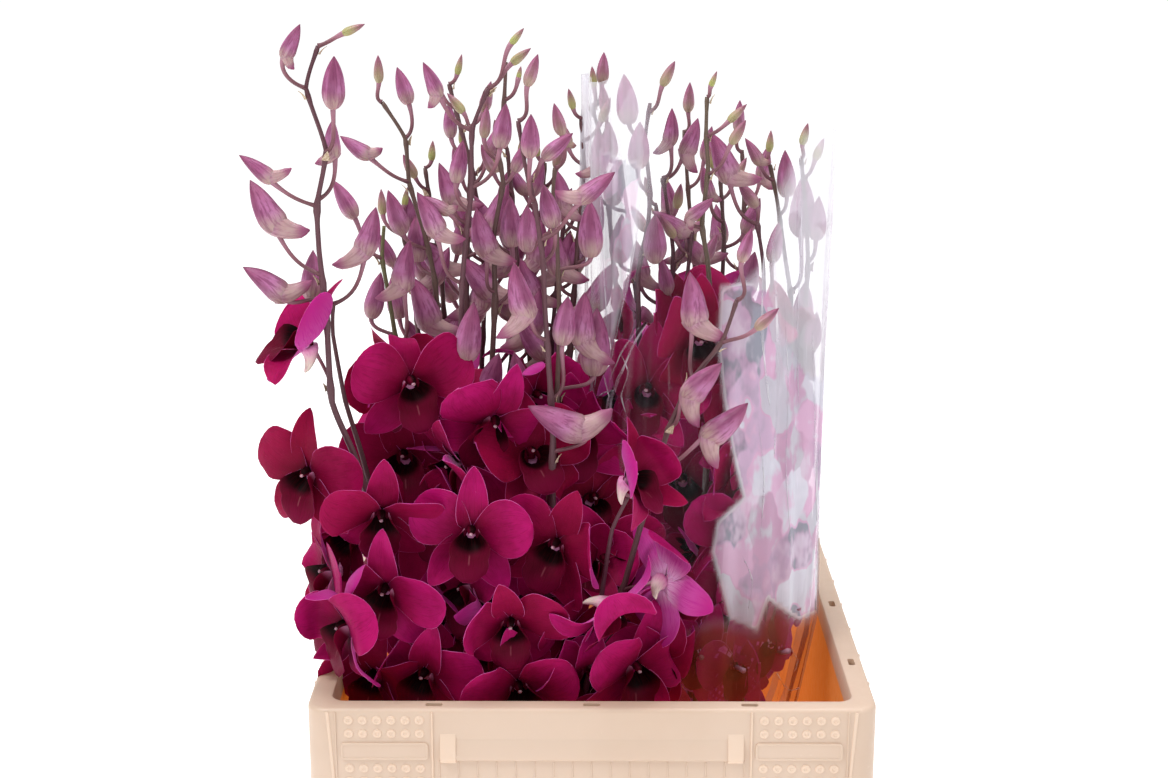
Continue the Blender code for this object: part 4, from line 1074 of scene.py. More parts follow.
def bud_look():
    """Mauve-pink with plum veins, a cream-green foot and chin, a darker point, and a painted glow."""
    n = Nodes("bud")
    seam, chin, height, green = n.paint()
    veins = n.noise(n.place(1.25, 0.085, 1.0), 1.5, 3.0, 0.6)
    patches = n.noise(None, 130.0)
    foot = n.times(n.span(height, 0.08, 0.42, 0.72, 0.0), n.span(veins, 0.40, 0.60, 1.0, 0.45))
    fresh = n.times(green, n.span(height, 0.25, 0.9, 1.0, 0.15))
    colour = n.over(
        (0.42, 0.155, 0.315),
        (patches, 0.35, 0.7, (0.32, 0.085, 0.205)),
        (height, 0.35, 1.0, (0.26, 0.055, 0.140)),
        (seam, 0.60, 1.0, 0.0, 0.60, (0.150, 0.022, 0.070)),
        (seam, 0.02, 0.10, 0.65, 0.0, (0.48, 0.30, 0.34)),
        (veins, 0.48, 0.62, 0.0, 0.60, (0.150, 0.020, 0.078)),
    )
    colour = n.over(
        n.mix(foot, colour, (0.44, 0.34, 0.26)),
        (chin, 0.22, 0.50, 0.0, 0.35, (0.46, 0.35, 0.28)),
        (chin, 0.64, 1.0, 0.0, 0.9, (0.25, 0.045, 0.135)),
    )
    colour = n.mix(fresh, colour, (0.34, 0.35, 0.11))
    colour = n.over(colour, (height, 0.90, 1.0, 0.0, 0.8, (0.12, 0.016, 0.055)))
    # Painted light: the bud glows a little in its own colour, standing in for light through it.
    return n.skin(
        colour, n.span(patches, 0.3, 0.7, 0.42, 0.56), 0.4, (0.2, 0.002, (1.0, 0.35, 0.5)),
        (colour, 0.10), (veins, 0.5, 0.0004),
    )


def stem_look(name, low, high, olive, pale_end=None):
    """Plum-brown stem with a waxy bloom. The paint says how green it is and its height."""
    n = Nodes(name)
    green, height, _, _ = n.paint()
    streaks = n.noise(n.place(1.0, 0.10, 1.0), 2.4)
    dots = n.noise(n.place(1.6, 1.0, 1.0), 3.0, 2.0)
    colour = n.over(
        n.mix(green, n.mix(n.span(height, 0.15, 0.75), low, high), olive),
        (streaks, 0.45, 0.7, 0.0, 0.5, (0.060, 0.028, 0.034)),
        (dots, 0.62, 0.72, 0.0, 0.35, (0.32, 0.24, 0.26)),
    )
    if pale_end:
        colour = n.over(colour, (height, 0.45, 1.0, 0.0, 0.8, pale_end))
    return n.skin(colour, n.span(dots, 0.3, 0.7, 0.36, 0.5), 0.35, bump=(streaks, 0.4, 0.0004))


def grained_look(name, scale, detail, dark, light, rough, bump):
    """A plain matt material with a fine grain: dry bracts and rubber."""
    n = Nodes(name)
    grain = n.noise(None, scale, detail)
    colour = n.mix(n.span(grain, 0.35, 0.7), dark, light)
    return n.skin(colour, rough, bump=(grain, bump, 0.0002))


def plastic_look(name, colour, deep, weight, glow):
    """Satin injection-moulded plastic with faint flow marks and scuffs, and a painted glow that stands in
    for light through its wall.
    """
    n = Nodes(name)
    grain = n.noise(None, 2600.0, 2.0)
    scuffs = n.noise(None, 160.0, 5.0, 0.7)
    tone = n.over(
        colour,
        (n.noise(None, 14.0, 4.0), 0.3, 0.75, deep),
        (scuffs, 0.62, 0.80, 0.0, 0.3, (0.84, 0.75, 0.68)),
    )
    scatter = (weight, 0.006, (1.0, 0.55, 0.30))
    rough = n.span(scuffs, 0.3, 0.75, 0.34, 0.52)
    return n.skin(tone, rough, scatter=scatter, glow=glow, bump=(grain, 0.12, 0.0002))


def film_look():
    """Clear film: see-through face on, with painted white highlights along creases and a painted white
    sheen at a glancing angle.
    Where it lies double it is milky, whitened more by a painted reflection, in soft patches painted in the
    colours behind it."""
    n = Nodes("clear_film_wrap")
    haze, painted_crease_glint, height, painted_wall_glow = n.paint()
    streaks = n.noise(n.place(0.30, 0.018, 1.0), 1.2, 4.0, 0.6)
    cloud = n.noise(n.place(0.060, 0.030, 1.0), 1.0, 3.0, 0.6)
    wander = n.noise(n.place(0.055, 0.030, 0.0), 1.3, 2.0, 0.5, "Color")
    warp = n.make("ShaderNodeVectorMath", {0: n.place(0.055, 0.036, 0.0), 1: wander}, operation="ADD")
    inputs = {"Vector": warp.outputs[0], "Scale": 1.15, "Smoothness": 0.28}
    cells = n.make("ShaderNodeTexVoronoi", inputs, feature="SMOOTH_F1")
    parts = n.make("ShaderNodeSeparateColor", {0: cells.outputs["Color"]})
    patch = n.math("ADD", parts.outputs[0], n.span(cloud, 0.35, 0.65, -0.16, 0.16))
    # Painted sheen: the film turns more opaque at a glancing angle, standing in for its reflection.
    glance = n.times(n.make("ShaderNodeLayerWeight", {"Blend": 0.30}).outputs["Fresnel"], 0.40)
    alpha = n.math("ADD", glance, n.times(n.span(streaks, 0.60, 0.74), 0.10))
    alpha = n.times(alpha, n.span(height, 0.62, 0.98, 1.0, 0.20))
    # The milky veil is partly doubled film and partly a painted white reflection.
    veil = n.times(haze, n.span(parts.outputs[1], 0.2, 0.8, 0.84, 1.08))
    alpha = n.math("ADD", n.math("ADD", alpha, veil), n.times(painted_wall_glow, 0.26))
    alpha = n.math("ADD", alpha, n.times(painted_crease_glint, 0.70), clamp=True)
    # The patches are painted in the pink, mauve and lilac of the flowers seen through the film.
    tone = n.over(
        (0.30, 0.31, 0.39),
        (patch, 0.14, 0.36, (0.64, 0.44, 0.64)),
        (patch, 0.38, 0.52, (0.74, 0.45, 0.66)),
        (patch, 0.62, 0.80, (0.70, 0.69, 0.80)),
        (cloud, 0.50, 0.66, 0.0, 0.5, (0.84, 0.80, 0.92)),
    )
    tone = n.mix(n.span(haze, 0.50, 0.70), (0.92, 0.90, 0.99), tone)
    # Painted light: orange where the crate's glowing wall shows behind the film, and white highlights
    # along the creases.
    colour = n.mix(painted_crease_glint, n.mix(painted_wall_glow, tone, (0.56, 0.17, 0.09)), (0.90, 0.89, 0.95))
    return n.skin(colour, 0.12, 0.8, bump=(streaks, 0.35, 0.001), Alpha=alpha)


# Crate.


def round_corners(half_x, half_y, radius, height, steps):
    """A rectangle with round corners as points at this height, steps to a corner."""
    ring = []
    for quarter, (sign_x, sign_y) in enumerate(((1, 1), (-1, 1), (-1, -1), (1, -1))):
        for step in range(steps):
            turn = math.pi / 2 * (quarter + step / (steps - 1))
            x = sign_x * (half_x - radius) + radius * math.cos(turn)
            y = sign_y * (half_y - radius) + radius * math.sin(turn)
            ring.append((x, y, height))
    return ring


def add_block(shape, middle, size, low, high, bevel):
    """An upright box from low to high with bevelled edges."""
    middle, half = np.array(middle), np.array(size) / 2
    outer = (middle - half, middle + half)
    inner = (outer[0] + bevel, outer[1] - bevel)
    points = []
    for height, (a, b) in (
        (low, inner), (low + bevel, outer), (high - bevel, outer), (high, inner)
    ):
        for x, y in (
            (a[0] + bevel, a[1]), (b[0] - bevel, a[1]), (b[0], a[1] + bevel), (b[0], b[1] - bevel),
            (b[0] - bevel, b[1]), (a[0] + bevel, b[1]), (a[0], b[1] - bevel), (a[0], a[1] + bevel),
        ):
            points.append((x, y, height))
    shape.add(points, tube_faces(4, 8))


def add_on_wall(shape, points, faces, side, look, across=0.0, up=0.0):
    """Adds (across, up, out) points to a wall: side 0 is in front, 1 right, 2 behind, 3 left."""
    half = (CRATE_LENGTH if side % 2 == 0 else CRATE_WIDTH) / 2
    turn = side * math.pi / 2
    cos, sin = math.cos(turn), math.sin(turn)
    placed = []
    for x, y, z in points:
        wide, deep = across + x, -(half + z)
        placed.append((wide * cos - deep * sin, wide * sin + deep * cos, up + y))
    shape.add(placed, faces, look)


def add_bar(shape, points, side, look):
    """A bar on a wall: four (across, up, out) points at one end, then four at the other."""
    faces = [(0, 4, 5, 1), (1, 5, 6, 2), (2, 6, 7, 3), (3, 7, 4, 0), (0, 1, 2, 3), (7, 6, 5, 4)]
    add_on_wall(shape, points, faces, side, look)


def add_rib(shape, foot, head, width, out, side, look=0):
    """A slim rib between two (across, up) points of a wall, with sloping flanks."""
    way = unit(np.subtract(head, foot))
    flank = np.array((-way[1], way[0])) * width / 2
    points = []
    for place in (foot, head):
        for share, rise in ((1.0, -GAP), (0.45, out), (-0.45, out), (-1.0, -GAP)):
            points.append((*(place + flank * share), rise))
    add_bar(shape, points, side, look)


def add_ring_boss(shape, across, up, side):
    """A small moulded ring on a wall."""
    sides = 18
    points = []
    for radius, out in RING_PROFILE:
        for step in range(sides):
            turn = math.tau * step / sides
            points.append((radius * MM * math.cos(turn), radius * MM * math.sin(turn), out * MM))
    faces = [face[::-1] for face in strip_faces(len(RING_PROFILE), sides, wrap=True)]
    add_on_wall(shape, points, faces, side, 1, across, up)


def add_plate(shape, across, side):
    """A raised blank plate with round corners and a low border on a wall."""
    points = []
    for inward, rise in (
        (0.0, -0.0003), (0.0, PLATE_OUT * 0.75), (0.0003, PLATE_OUT), (0.0010, PLATE_OUT),
        (0.0014, PLATE_OUT * 0.62),
    ):
        half_x, half_y = (length / 2 - inward for length in PLATE_SIZE)
        points += round_corners(half_x, half_y, max(PLATE_CORNER - inward, 0.0005), rise, 6)
    faces = strip_faces(5, 24, wrap=True) + [range(96, 120)]
    add_on_wall(shape, points, faces, side, 0, across, PLATE_Z)


def weld_points(obj):
    work = bmesh.new()
    work.from_mesh(obj.data)
    bmesh.ops.remove_doubles(work, verts=work.verts, dist=1e-6)
    bmesh.ops.recalc_face_normals(work, faces=work.faces)
    work.to_mesh(obj.data)
    work.free()


def soften(obj):
    """Smooth faces with sharp edges between those that meet at over 32 degrees."""
    mesh = obj.data
    mesh.polygons.foreach_set("use_smooth", [True] * len(mesh.polygons))
    mesh.set_sharp_from_angle(angle=math.radians(32))


def make_crate(outside, inside):
    """The tray: a section taken round its walls, and drain slots cut into its rim."""
    shape = Shape()
    top = CRATE_HEIGHT
    under = top - RIM_TOP
    skirt = top - SKIRT_HEIGHT
    wall = RIM_WIDTH - CRATE_WALL
    section = (
        (wall + WALL_DRAFT + 0.0012, 0.0), (wall + WALL_DRAFT, 0.0012), (wall, under),
        (SKIRT_WALL, under), (SKIRT_WALL, skirt + 0.0005), (SKIRT_WALL - 0.0005, skirt),
        (0.0005, skirt), (0.0, skirt + 0.0005), (0.0, top - 0.0024), (0.0003, top - 0.0012),
        (0.0010, top - 0.0004), (0.0020, top), (RIM_WIDTH - 0.0018, top),
        (RIM_WIDTH - 0.0007, top - 0.0004), (RIM_WIDTH, top - 0.0015),
        (RIM_WIDTH + 0.0006, top - 0.012), (RIM_WIDTH + WALL_DRAFT - 0.001, FLOOR + 0.003),
        (RIM_WIDTH + WALL_DRAFT + 0.002, FLOOR),
    )
    rings = []
    for inward, height in section:
        half_x, half_y = CRATE_WIDTH / 2 - inward, CRATE_LENGTH / 2 - inward
        rings.append(round_corners(half_x, half_y, max(0.0115 - inward * 0.3, 0.006), height, 7))
    columns = len(rings[0])
    for index, (ring, after) in enumerate(zip(rings, rings[1:])):
        # The inner walls and floor take the inside copy: painted orange and glowing, for light through the
        # plastic and bounced between the walls.
        inner = index >= len(rings) - 3
        shape.add(ring + after, strip_faces(2, columns, wrap=True), int(inner))
    shape.add(rings[0], [range(columns)[::-1]], 0)
    shape.add(rings[-1], [range(columns)], 1)
    crate = piece("crate_shell", shape, [outside, inside])
    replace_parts(crate, "crate")
    slots = Shape()
    for side in (-1, 1):
        end_y = side * (CRATE_LENGTH / 2 - RIM_WIDTH / 2)
        side_x = side * (CRATE_WIDTH / 2 - RIM_WIDTH / 2)
        spots = [((x, end_y), SLOT_SIZE) for x in END_SLOTS]
        spots += [((side_x, y), SLOT_SIZE[::-1]) for y in SIDE_SLOTS]
        for middle, size in spots:
            add_block(slots, middle, size, top - 2 * RIM_TOP, top + RIM_TOP, 0.0008)
    cutter = linked("slot_cutter", slots.mesh("slot_cutter"))
    weld_points(crate)
    cut = crate.modifiers.new("slots", "BOOLEAN")
    cut.operation = "DIFFERENCE"
    cut.solver = "EXACT"
    cut.object = cutter
    graph = bpy.context.evaluated_depsgraph_get()
    result = bpy.data.meshes.new_from_object(crate.evaluated_get(graph))
    crate.modifiers.clear()
    crate.data = result
    bpy.data.objects.remove(cutter)
    soften(crate)


def make_crate_details(outside, raised):
    """Everything moulded onto the walls: posts, rings, blank plates, ribs, and the grip ledges. The rings,
    gussets and some ribs take a lighter copy of the plastic, a painted highlight.
    """
    shape = Shape()
    skirt = CRATE_HEIGHT - SKIRT_HEIGHT
    rim = CRATE_HEIGHT - 0.0016
    reach = RIM_WIDTH - 0.0016
    for side_x in (-1, 1):
        for side_y in (-1, 1):
            for in_x, in_y, wide, deep, low, high in (
                (0.0004, 0.0008, POST_WIDTH, reach, 0.0008, skirt + 0.0008),
                (0.0008, 0.0014, reach, POST_WIDTH, 0.0012, skirt + 0.0004),
            ):
                x = side_x * (CRATE_WIDTH / 2 - in_x - wide / 2)
                y = side_y * (CRATE_LENGTH / 2 - in_y - deep / 2)
                add_block(shape, (x, y), (wide, deep), low, high, 0.0012)
    for side in (0, 2):
        for hand in (-1, 1):
            for up in RING_ROWS:
                for step in range(6):
                    add_ring_boss(shape, hand * PLATE_X + (step - 2.5) * RING_PITCH, up, side)
            add_plate(shape, hand * PLATE_X, side)
            for low, high, foot, head, width, out, look in (
                (0.1345, 0.1345, skirt, rim, 0.0012, 0.0006, 0),
                (0.1350, 0.1386, skirt + 0.004, rim, 0.0024, 0.0005, 1),
                (0.0838, 0.0838, skirt, rim, 0.0014, 0.0008, 1),
                (0.0803, 0.0803, skirt, 0.2060, 0.0009, 0.0004, 0),
            ):
                add_rib(shape, (hand * low, foot), (hand * high, head), width, out, side, look)
            ends = sorted((hand * LEDGE_X, hand * 0.0796))
            add_bar(shape, [(x, up, out) for x in ends for up, out in GUSSET], side, 1)
        ends = (-LEDGE_X, LEDGE_X)
        add_bar(shape, [(x, up, out) for x in ends for up, out in LEDGE], side, 0)
        for step in range(-7, 8):
            across = step * 0.0100
            add_rib(shape, (across, skirt + 0.002), (across, 0.2052), 0.0010, 0.00035, side)
    for side in (1, 3):
        for step in range(-4, 5):
            across = step * 0.0400
            add_rib(shape, (across, skirt), (across, rim), 0.0016, 0.0006, side)
    soften(piece("crate_mouldings", shape, [outside, raised]))


# Film sleeve.

FILM_GRID = (170, 300)
FILM_SEED = 7

# A fold's cross-section: shares of its half width and of its height.
FOLD_PROFILE = np.array(((-1.0, 0.0), (-0.45, 0.55), (0.0, 1.0), (0.45, 0.55), (1.0, 0.0)))


def band_outline(tie, gap, turns):
    """A band drawn round a tie's stems, as a point for each turn."""
    slots = tie_slots(tie)
    outline = []
    for turn in turns:
        way = Vector((math.cos(turn), math.sin(turn), 0))
        outline.append((max(slots, key=way.dot) + way * (FOOT_RADIUS + gap)).xy)
    return np.array(outline)


def make_film(look):
    """The sleeve as one thin sheet, gathered at the tie, with creases down its sides."""
    grid = FILM_GRID
    turns = np.arange(grid[1]) * math.tau / grid[1]
    heights = np.interp(
        np.linspace(0, 1, grid[0]), (0, 0.12, 0.35, 1), (FILM_LEVELS[0], 0.085, 0.230, FILM_TOP)
    )[:, None]
    opening = np.interp(heights, FILM_LEVELS, FILM_OPEN)
    neck = band_outline(SLEEVED_TIE, GAP + 0.0004, turns)
    wide = stacked(grid[1], np.cos(turns) * FILM_HALF[0], np.sin(turns) * FILM_HALF[1])
    draw = random.Random(FILM_SEED)
    ripple = np.zeros(grid)
    for k in (5, 8, 13, 21, 34):
        phase, slope = draw.uniform(0, 6.28), draw.uniform(-2.5, 2.5)
        ripple += np.sin(k * turns + phase + slope * heights * 6) * 0.0042 / k**0.55
    folds = np.maximum(np.sin(29 * turns + 3.0 * np.sin(heights * 9)), 0) ** 6
    folds = folds * np.exp(-(((turns - 3.45) / 0.45) ** 2))
    ripple += folds * 0.0028
    ripple += np.sin(26 * turns) * 0.0012 * np.exp(-(((heights - 0.12) / 0.08) ** 2))
    full = wide * (1 - 0.035) + np.array(FILM_AXIS.xy)
    ring = neck * (1 - opening)[..., None] + full * opening[..., None]
    ring = ring + unit(ring - ring.mean(1, keepdims=True)) * (ripple * opening**0.5)[..., None]
    share = heights / FILM_TOP
    lip = 0.006 * np.sin(3 * turns + 1) + 0.003 * np.sin(8 * turns) - 0.010
    points = stacked(grid, ring[..., 0], ring[..., 1], heights + lip * share**6)
    near = points[..., 1] < FILM_AXIS.y
    across, down = pixels_of(points)
    # Milky where the film lies double, and whitened there by a painted reflection.
    milky = np.zeros(grid)
    for strength, soft, outline in MILKY:
        milky = np.maximum(milky, inside_outline(across, down, outline, soft) * strength)
    # Painted light: an orange glow where the crate's wall shows behind the film.
    painted_wall_glow = inside_outline(across, down, PAINTED_WALL_GLOW, 6.0)
    # Painted highlight: white along the folds on the sleeve's left side.
    painted_crease_glint = np.clip(folds, 0, 1) * np.clip((heights - 0.26) / 0.1, 0, 1) * 0.45
    faces = strip_faces(*grid, wrap=True)
    shape = Shape()
    place = stacked(grid, turns * 70, heights / MM, 0)
    shape.add(points, faces, 0, stacked(grid, milky * near, painted_crease_glint, share, painted_wall_glow * near), place)
    film = piece("film_sleeve", shape, [look])
    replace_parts(film, "sleeve")
    folds = make_folds(points.reshape(-1, 3), faces, look)


def make_folds(points, faces, look):
    """Sharp narrow folds that stand on the sleeve's near side, painted with white glints along them."""
    tree = BVHTree.FromPolygons([Vector(point) for point in points], faces)
    shape = Shape()
    out, up = FOLD_PROFILE.T
    for number, (half, rise, *pixels) in enumerate(FOLDS):
        found = []
        for x, y, _ in through([(x, y, 0.0) for x, y in pairs(pixels)], 9, 0.8):
            way = (seen_at((x, y), 0.1) - VIEW_EYE).normalized()
            spot, normal = tree.ray_cast(VIEW_EYE, way)[:2]
            if spot is not None:
                found.append((spot, -normal if normal.dot(way) > 0 else normal))
        if len(found) < 4:
            continue
        spots, normals = (np.array(column) for column in zip(*found))
        side = unit(np.cross(unit(np.gradient(spots, axis=0)), normals))
        share = np.linspace(0, 1, len(spots))[:, None]
        swell = np.sin(share * math.pi) ** 0.6 * (0.75 + 0.25 * np.sin(share * 17 + number)) + 0.05
        width = (out * half * MM * swell)[..., None]
        height = ((up * rise + 0.15) * MM * swell)[..., None]
        rows = spots[:, None] + side[:, None] * width + normals[:, None] * height
        # Painted highlights: white glints along each fold, stronger in spots.
        glint = np.clip(np.sin(share * 23 + number) + np.sin(share * 9.7 + number * 2.1), 0, 1)
        painted_crease_glint = np.sin(share * math.pi) ** 0.4 * (0.30 + 0.65 * glint)
        grid = (len(spots), len(out))
        paint = stacked(grid, 0, painted_crease_glint, spots[:, 2:] / FILM_TOP, 0)
        place = stacked(grid, number * 31.0 + np.arange(len(out)) * half, spots[:, 2:] / MM, 0)
        shape.add(rows, strip_faces(*grid), 0, paint, place)
    return piece("film_folds", shape, [look])


# Putting the plants together.

# Blooms that fill a bunch: whether it is the sleeved one, the middle and half width of the ring
# that they stand on, the lowest and highest, and how many are tried.
FILLS = (
    (False, (-0.050, -0.088), (0.078, 0.058), 0.222, 0.385, 420),
    (True, (0.064, -0.062), (0.046, 0.042), 0.205, 0.418, 420),
    (False, (-0.046, -0.112), (0.078, 0.046), 0.196, 0.240, 160),
    (True, (0.072, -0.078), (0.050, 0.036), 0.186, 0.240, 160),
)
FILL_SPACING = 0.027
FILL_SEED = 61

# How far below a flower its stalk joins the stem: one without a CAD node, and one with.
JOINS_BELOW = 0.016
CAD_JOINS_BELOW = 0.018


def inside_crate(point, reach):
    return (
        abs(point[0]) < CRATE_WIDTH / 2 - RIM_WIDTH - reach
        and abs(point[1]) < CRATE_LENGTH / 2 - RIM_WIDTH - reach
    )


def in_film(point, margin):
    """Whether a point is inside the sleeve's outline by this margin."""
    opening = float(np.interp(point[2], FILM_LEVELS, FILM_OPEN))
    half_x, half_y = (max(half * opening - margin, 0.001) for half in FILM_HALF)
    return math.hypot((point[0] - FILM_AXIS.x) / half_x, (point[1] - FILM_AXIS.y) / half_y) < 1


def press_in(shape):
    """Keeps a sleeved flower's petals inside the film, flattened against it."""
    axis = np.array(FILM_AXIS.xy)
    for points in shape.points:
        opening = np.interp(points[:, 2], FILM_LEVELS, FILM_OPEN)[:, None]
        half = np.maximum(np.array(FILM_HALF) * opening, 0.004)
        flat = (points[:, :2] - axis) / half
        away = np.hypot(flat[:, :1], flat[:, 1:])
        over = np.maximum(away - PRESSED_SHARE, 0.0)
        kept = PRESSED_SHARE + PRESSED_MORE * (1 - np.exp(-over * 6))
        kept = np.where(over > 0, kept, away) / np.maximum(away, 1e-6)
        kept = np.where(points[:, 2:] < PRESSED_ABOVE, 1.0, kept)
        points[:, :2] = axis + flat * kept * half


class Bunches:
    """The sprays' lines, and what joins each: the index on its line, and the way out from it."""

    def __init__(self, looks):
        self.looks = looks
        self.paths = {}
        self.joints = {}

    def grow(self, spray, nodes):
        self.paths[spray.name] = through(nodes, *STEM_LINE)
        self.joints[spray.name] = []

    def bloom(self, name, centre, turn, pose, seed, sleeved, host=None):
        """A flower and its stalk, from this host's stem, or from the nearest one in its bunch."""
        shape = Shape()
        boss, back = add_flower(shape, centre, turn, pose, seed, fine=bool(host))
        if sleeved:
            press_in(shape)
        below = boss - np.array((0, 0, CAD_JOINS_BELOW if host else JOINS_BELOW))
        if host is None:
            bunch = SLEEVED_SPRAYS if sleeved else FRONT_SPRAYS
            places = {spray.name: nearest_on(self.paths[spray.name], below)[0] for spray in bunch}
            host = min(places, key=lambda name: (np.linalg.norm(places[name] - below), name))
        joins, index = nearest_on(self.paths[host], below)
        add_flower_stalk(shape, joins, boss, back)
        self.joints[host].append((index, boss - joins))
        return piece(name, shape, self.looks["flower"])

    def stem(self, spray, order):
        """A spray's stem with its buds. Returns the stem."""
        shape, buds = Shape(), Shape()
        path, joints = self.paths[spray.name], self.joints[spray.name]
        for place, bud in enumerate(spray.buds):
            seed = order * 31 + place * 7 + 3
            joints.append(add_bud_at(buds, shape, bud, spray.behind, path, seed))
        add_stem(shape, spray.green, path, joints, random.Random(order + 50))
        stem = piece(spray.name + "_stem", shape, self.looks["stem"])
        if spray.buds:
            piece(spray.name + "_buds", buds, self.looks["bud"])
        return stem


def middle_of(node):
    low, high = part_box(node)
    return np.array((low + high) / 2)


def add_fill_blooms(bunches, nodes):
    """Blooms by rule in the gaps between those that have CAD nodes."""
    draw = random.Random(FILL_SEED)
    taken = [middle_of(node) for node in nodes]
    for sleeved, middle, half, low, high, tries in FILLS:
        for _ in range(tries):
            share = math.sqrt(draw.uniform(0.12, 1.0))
            clock = draw.uniform(0, math.tau)
            height = low + (high - low) * draw.random() ** 1.15
            x = middle[0] + half[0] * share * math.cos(clock)
            y = middle[1] + half[1] * share * math.sin(clock)
            centre = np.array((x, y, height))
            if min(np.linalg.norm(centre - other) for other in taken) < FILL_SPACING:
                continue
            if height < CRATE_HEIGHT + 0.03 and not inside_crate(centre, 0.030):
                continue
            if sleeved != in_film(centre, 0.024 if sleeved else -0.020):
                continue
            out = math.degrees(math.atan2(x - middle[0], middle[1] - y))
            yaw = out * (0.85 if abs(out) > 90 else 0.6) + draw.uniform(-46, 46)
            turn = facing_frame(yaw, draw.uniform(-42, 38), draw.uniform(-50, 50))
            pose = OPEN if draw.random() < 0.8 else HALF_OPEN
            if sleeved:
                pose = pose._replace(lift=pose.lift + 0.25, curl=pose.curl - 0.1, size=0.9)
            taken.append(centre)
            count = len(taken)
            bunches.bloom(f"bloom_{count:02d}", centre, turn, pose, 900 + count * 13, sleeved)


def make_plants(looks):
    """Both bunches: the flowers with CAD nodes, those without, the extra sprays, the stems."""
    bunches = Bunches(looks)
    for sprays, tie in ((FRONT_SPRAYS, FRONT_TIE), (SLEEVED_SPRAYS, SLEEVED_TIE)):
        slots = slots_in_order(sprays, tie)
        for spray in sprays:
            bunches.grow(spray, stem_nodes(spray, slots[spray.name]))

    nodes = [f"flower_{number + 1:02d}" for number in range(len(FLOWERS))]
    for number, (node, (spray, *facing)) in enumerate(zip(nodes, FLOWERS)):
        turn = facing_frame(*facing)
        centre = middle_of(node) - turn[:, 2] * 0.002
        sleeved = spray > len(FRONT_SPRAYS)
        pose = POSES.get(number, OPEN)
        name, seed, host = node + "_bloom", 11 + number * 17, f"spray_{spray:02d}"
        bloom = bunches.bloom(name, centre, turn, pose, seed, sleeved, host)
        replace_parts(bloom, node)

    add_fill_blooms(bunches, nodes)
    for number, (x, y, behind, *facing) in enumerate(FRONT_BLOOMS + SLEEVED_BLOOMS):
        sleeved = number >= len(FRONT_BLOOMS)
        centre = np.array(seen_at((x, y), behind * MM))
        name, seed = f"low_bloom_{number + 1:02d}", 4001 + number * 19
        pose = IN_FILM if sleeved else OPEN
        bunches.bloom(name, centre, facing_frame(*facing), pose, seed, sleeved)

    for spray, (across, back) in zip(FRONT_EXTRAS, EXTRA_FEET):
        foot = FRONT_TIE + Vector((across * MM, back * MM, 0))
        bunches.grow(spray, stem_nodes(spray, foot))
    for spray, host in zip(SLEEVED_EXTRAS, EXTRA_HOSTS):
        bunches.grow(spray, shoot_nodes(spray, bunches.paths[host]))

    sprays = FRONT_SPRAYS + SLEEVED_SPRAYS
    for order, spray in enumerate(sprays):
        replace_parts(bunches.stem(spray, order), spray.name)
    for number, spray in enumerate(FRONT_EXTRAS + SLEEVED_EXTRAS):
        last = FRONT_BUDS_END if spray in FRONT_EXTRAS else SLEEVED_BUDS_END
        grown = spray._replace(buds=grown_buds(spray, number * 7 + 5, last))
        bunches.stem(grown, len(sprays) + number)


# Stage.

FLOOR_GLOW = 0.68
WORLD_LIGHT = 0.46
LAMPS = (
    ("key", (-1.1, -0.9, 2.2), (0, -0.1, 0.35), 0.8, 30),
    ("fill", (1.7, -1.1, 1.3), (0, -0.1, 0.35), 1.2, 8),
    ("top", (0.1, 0.2, 2.3), (0, 0, 0.3), 1.2, 30),
)


def make_stage():
    """A white floor, an even white world and three soft lamps."""
    far = 14.0
    shape = Shape()
    shape.add([(-far, -far, 0), (far, -far, 0), (far, far, 0), (-far, far, 0)], [(0, 1, 2, 3)])
    floor = linked("floor", shape.mesh("floor"))
    white = Nodes("white_floor").skin((0.80, 0.80, 0.80), 0.9, glow=((1, 1, 1), FLOOR_GLOW))
    floor.data.materials.append(white)

    world = bpy.data.worlds.new("studio")
    bpy.context.scene.world = world
    world.use_nodes = True
    background = world.node_tree.nodes["Background"]
    background.inputs[0].default_value = (1.0, 1.0, 1.0, 1)
    background.inputs[1].default_value = WORLD_LIGHT

    for name, place, aim, size, energy in LAMPS:
        light = bpy.data.lights.new(name, "AREA")
        light.shape = "SQUARE"
        light.size = size
        light.energy = energy
        lamp = linked(name, light)
        lamp.location = place
        lamp.rotation_euler = (Vector(aim) - Vector(place)).to_track_quat("-Z", "Y").to_euler()


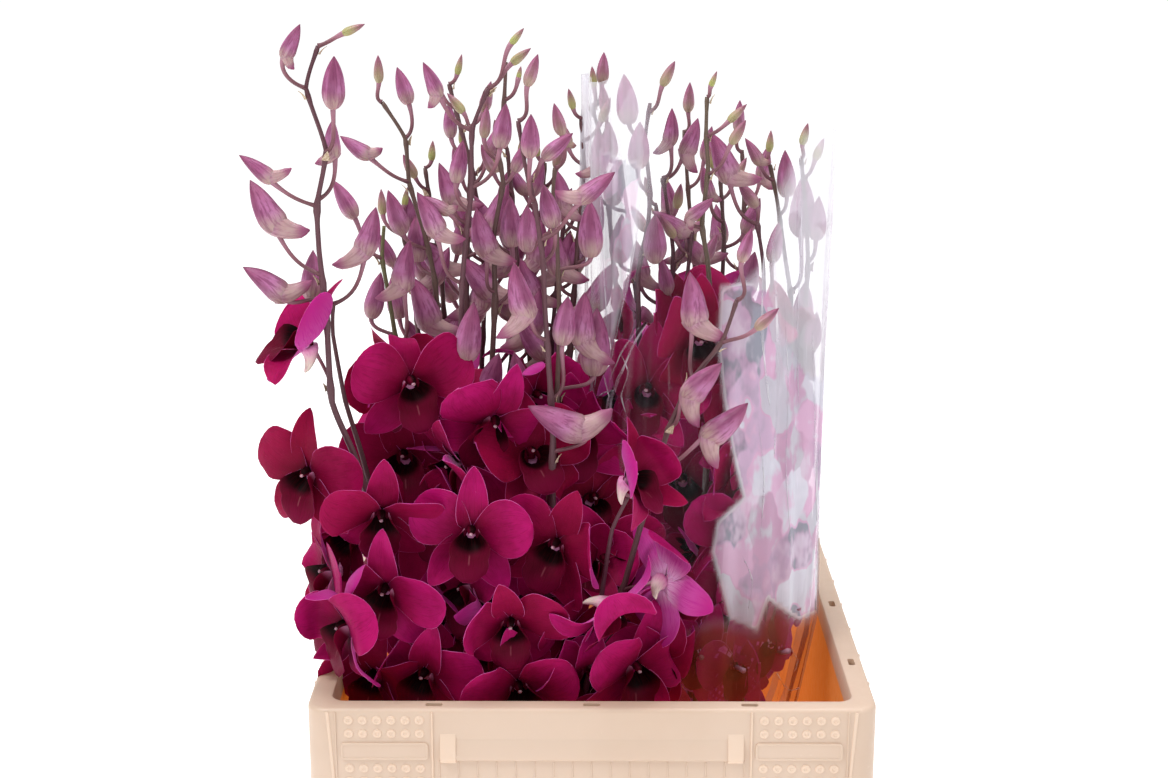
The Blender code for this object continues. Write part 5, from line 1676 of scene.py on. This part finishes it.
def make_camera():
    lens = bpy.data.cameras.new("photo_view")
    lens.sensor_width = 36
    lens.lens = VIEW_FOCAL * lens.sensor_width / PHOTO_WIDTH
    lens.clip_start, lens.clip_end = 0.01, 60
    camera = linked("photo_view", lens)
    camera.location = VIEW_EYE
    camera.rotation_euler = (math.radians(90) - VIEW_PITCH, 0, VIEW_YAW)
    scene = bpy.context.scene
    scene.camera = camera
    scene.view_settings.view_transform = "Standard"
    scene.view_settings.look = "None"


def main():
    make_camera()
    make_stage()
    stem = stem_look("stem", (0.105, 0.090, 0.048), (0.120, 0.046, 0.060), (0.130, 0.125, 0.050))
    stalk = stem_look(
        "stalk", (0.17, 0.065, 0.080), (0.28, 0.105, 0.135), (0.16, 0.15, 0.07), (0.40, 0.19, 0.26)
    )
    bract = grained_look("dry_bract", 900.0, 2.0, (0.42, 0.30, 0.19), (0.66, 0.54, 0.40), 0.75, 0.4)
    rubber = grained_look("tan_rubber", 1200.0, 3.0, (0.36, 0.20, 0.09), (0.52, 0.32, 0.16), 0.6, 0.3)
    # Painted light: a faint orange glow on the peach plastics, for light through the thin walls.
    painted_through_glow = (0.80, 0.42, 0.20)
    outside, raised, inside = (
        plastic_look(f"peach_plastic{part}", *values)
        for part, *values in (
            ("", (0.60, 0.465, 0.37), (0.56, 0.425, 0.33), 0.06, (painted_through_glow, 0.07)),
            # A lighter copy of the same plastic, with more glow: a painted highlight on raised mouldings.
            ("_raised", (0.68, 0.53, 0.42), (0.66, 0.50, 0.39), 0.06, (painted_through_glow, 0.08)),
            # An orange copy of the same plastic with a strong glow: painted light through the wall and
            # bounced between the walls.
            ("_inside", (0.74, 0.34, 0.11), (0.68, 0.28, 0.07), 0.0, ((0.80, 0.20, 0.015), 0.20)),
        )
    )
    make_crate(outside, inside)
    make_crate_details(outside, raised)
    make_film(film_look())
    flower = [tepal_look(), lip_look(), cap_look(), spur_look(), stalk]
    make_plants({"flower": flower, "stem": [stem, bract, stalk], "bud": [bud_look()]})
    for name in ("tie_front", "tie_sleeved"):
        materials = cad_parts[name].data.materials
        materials.clear()
        materials.append(rubber)


main()
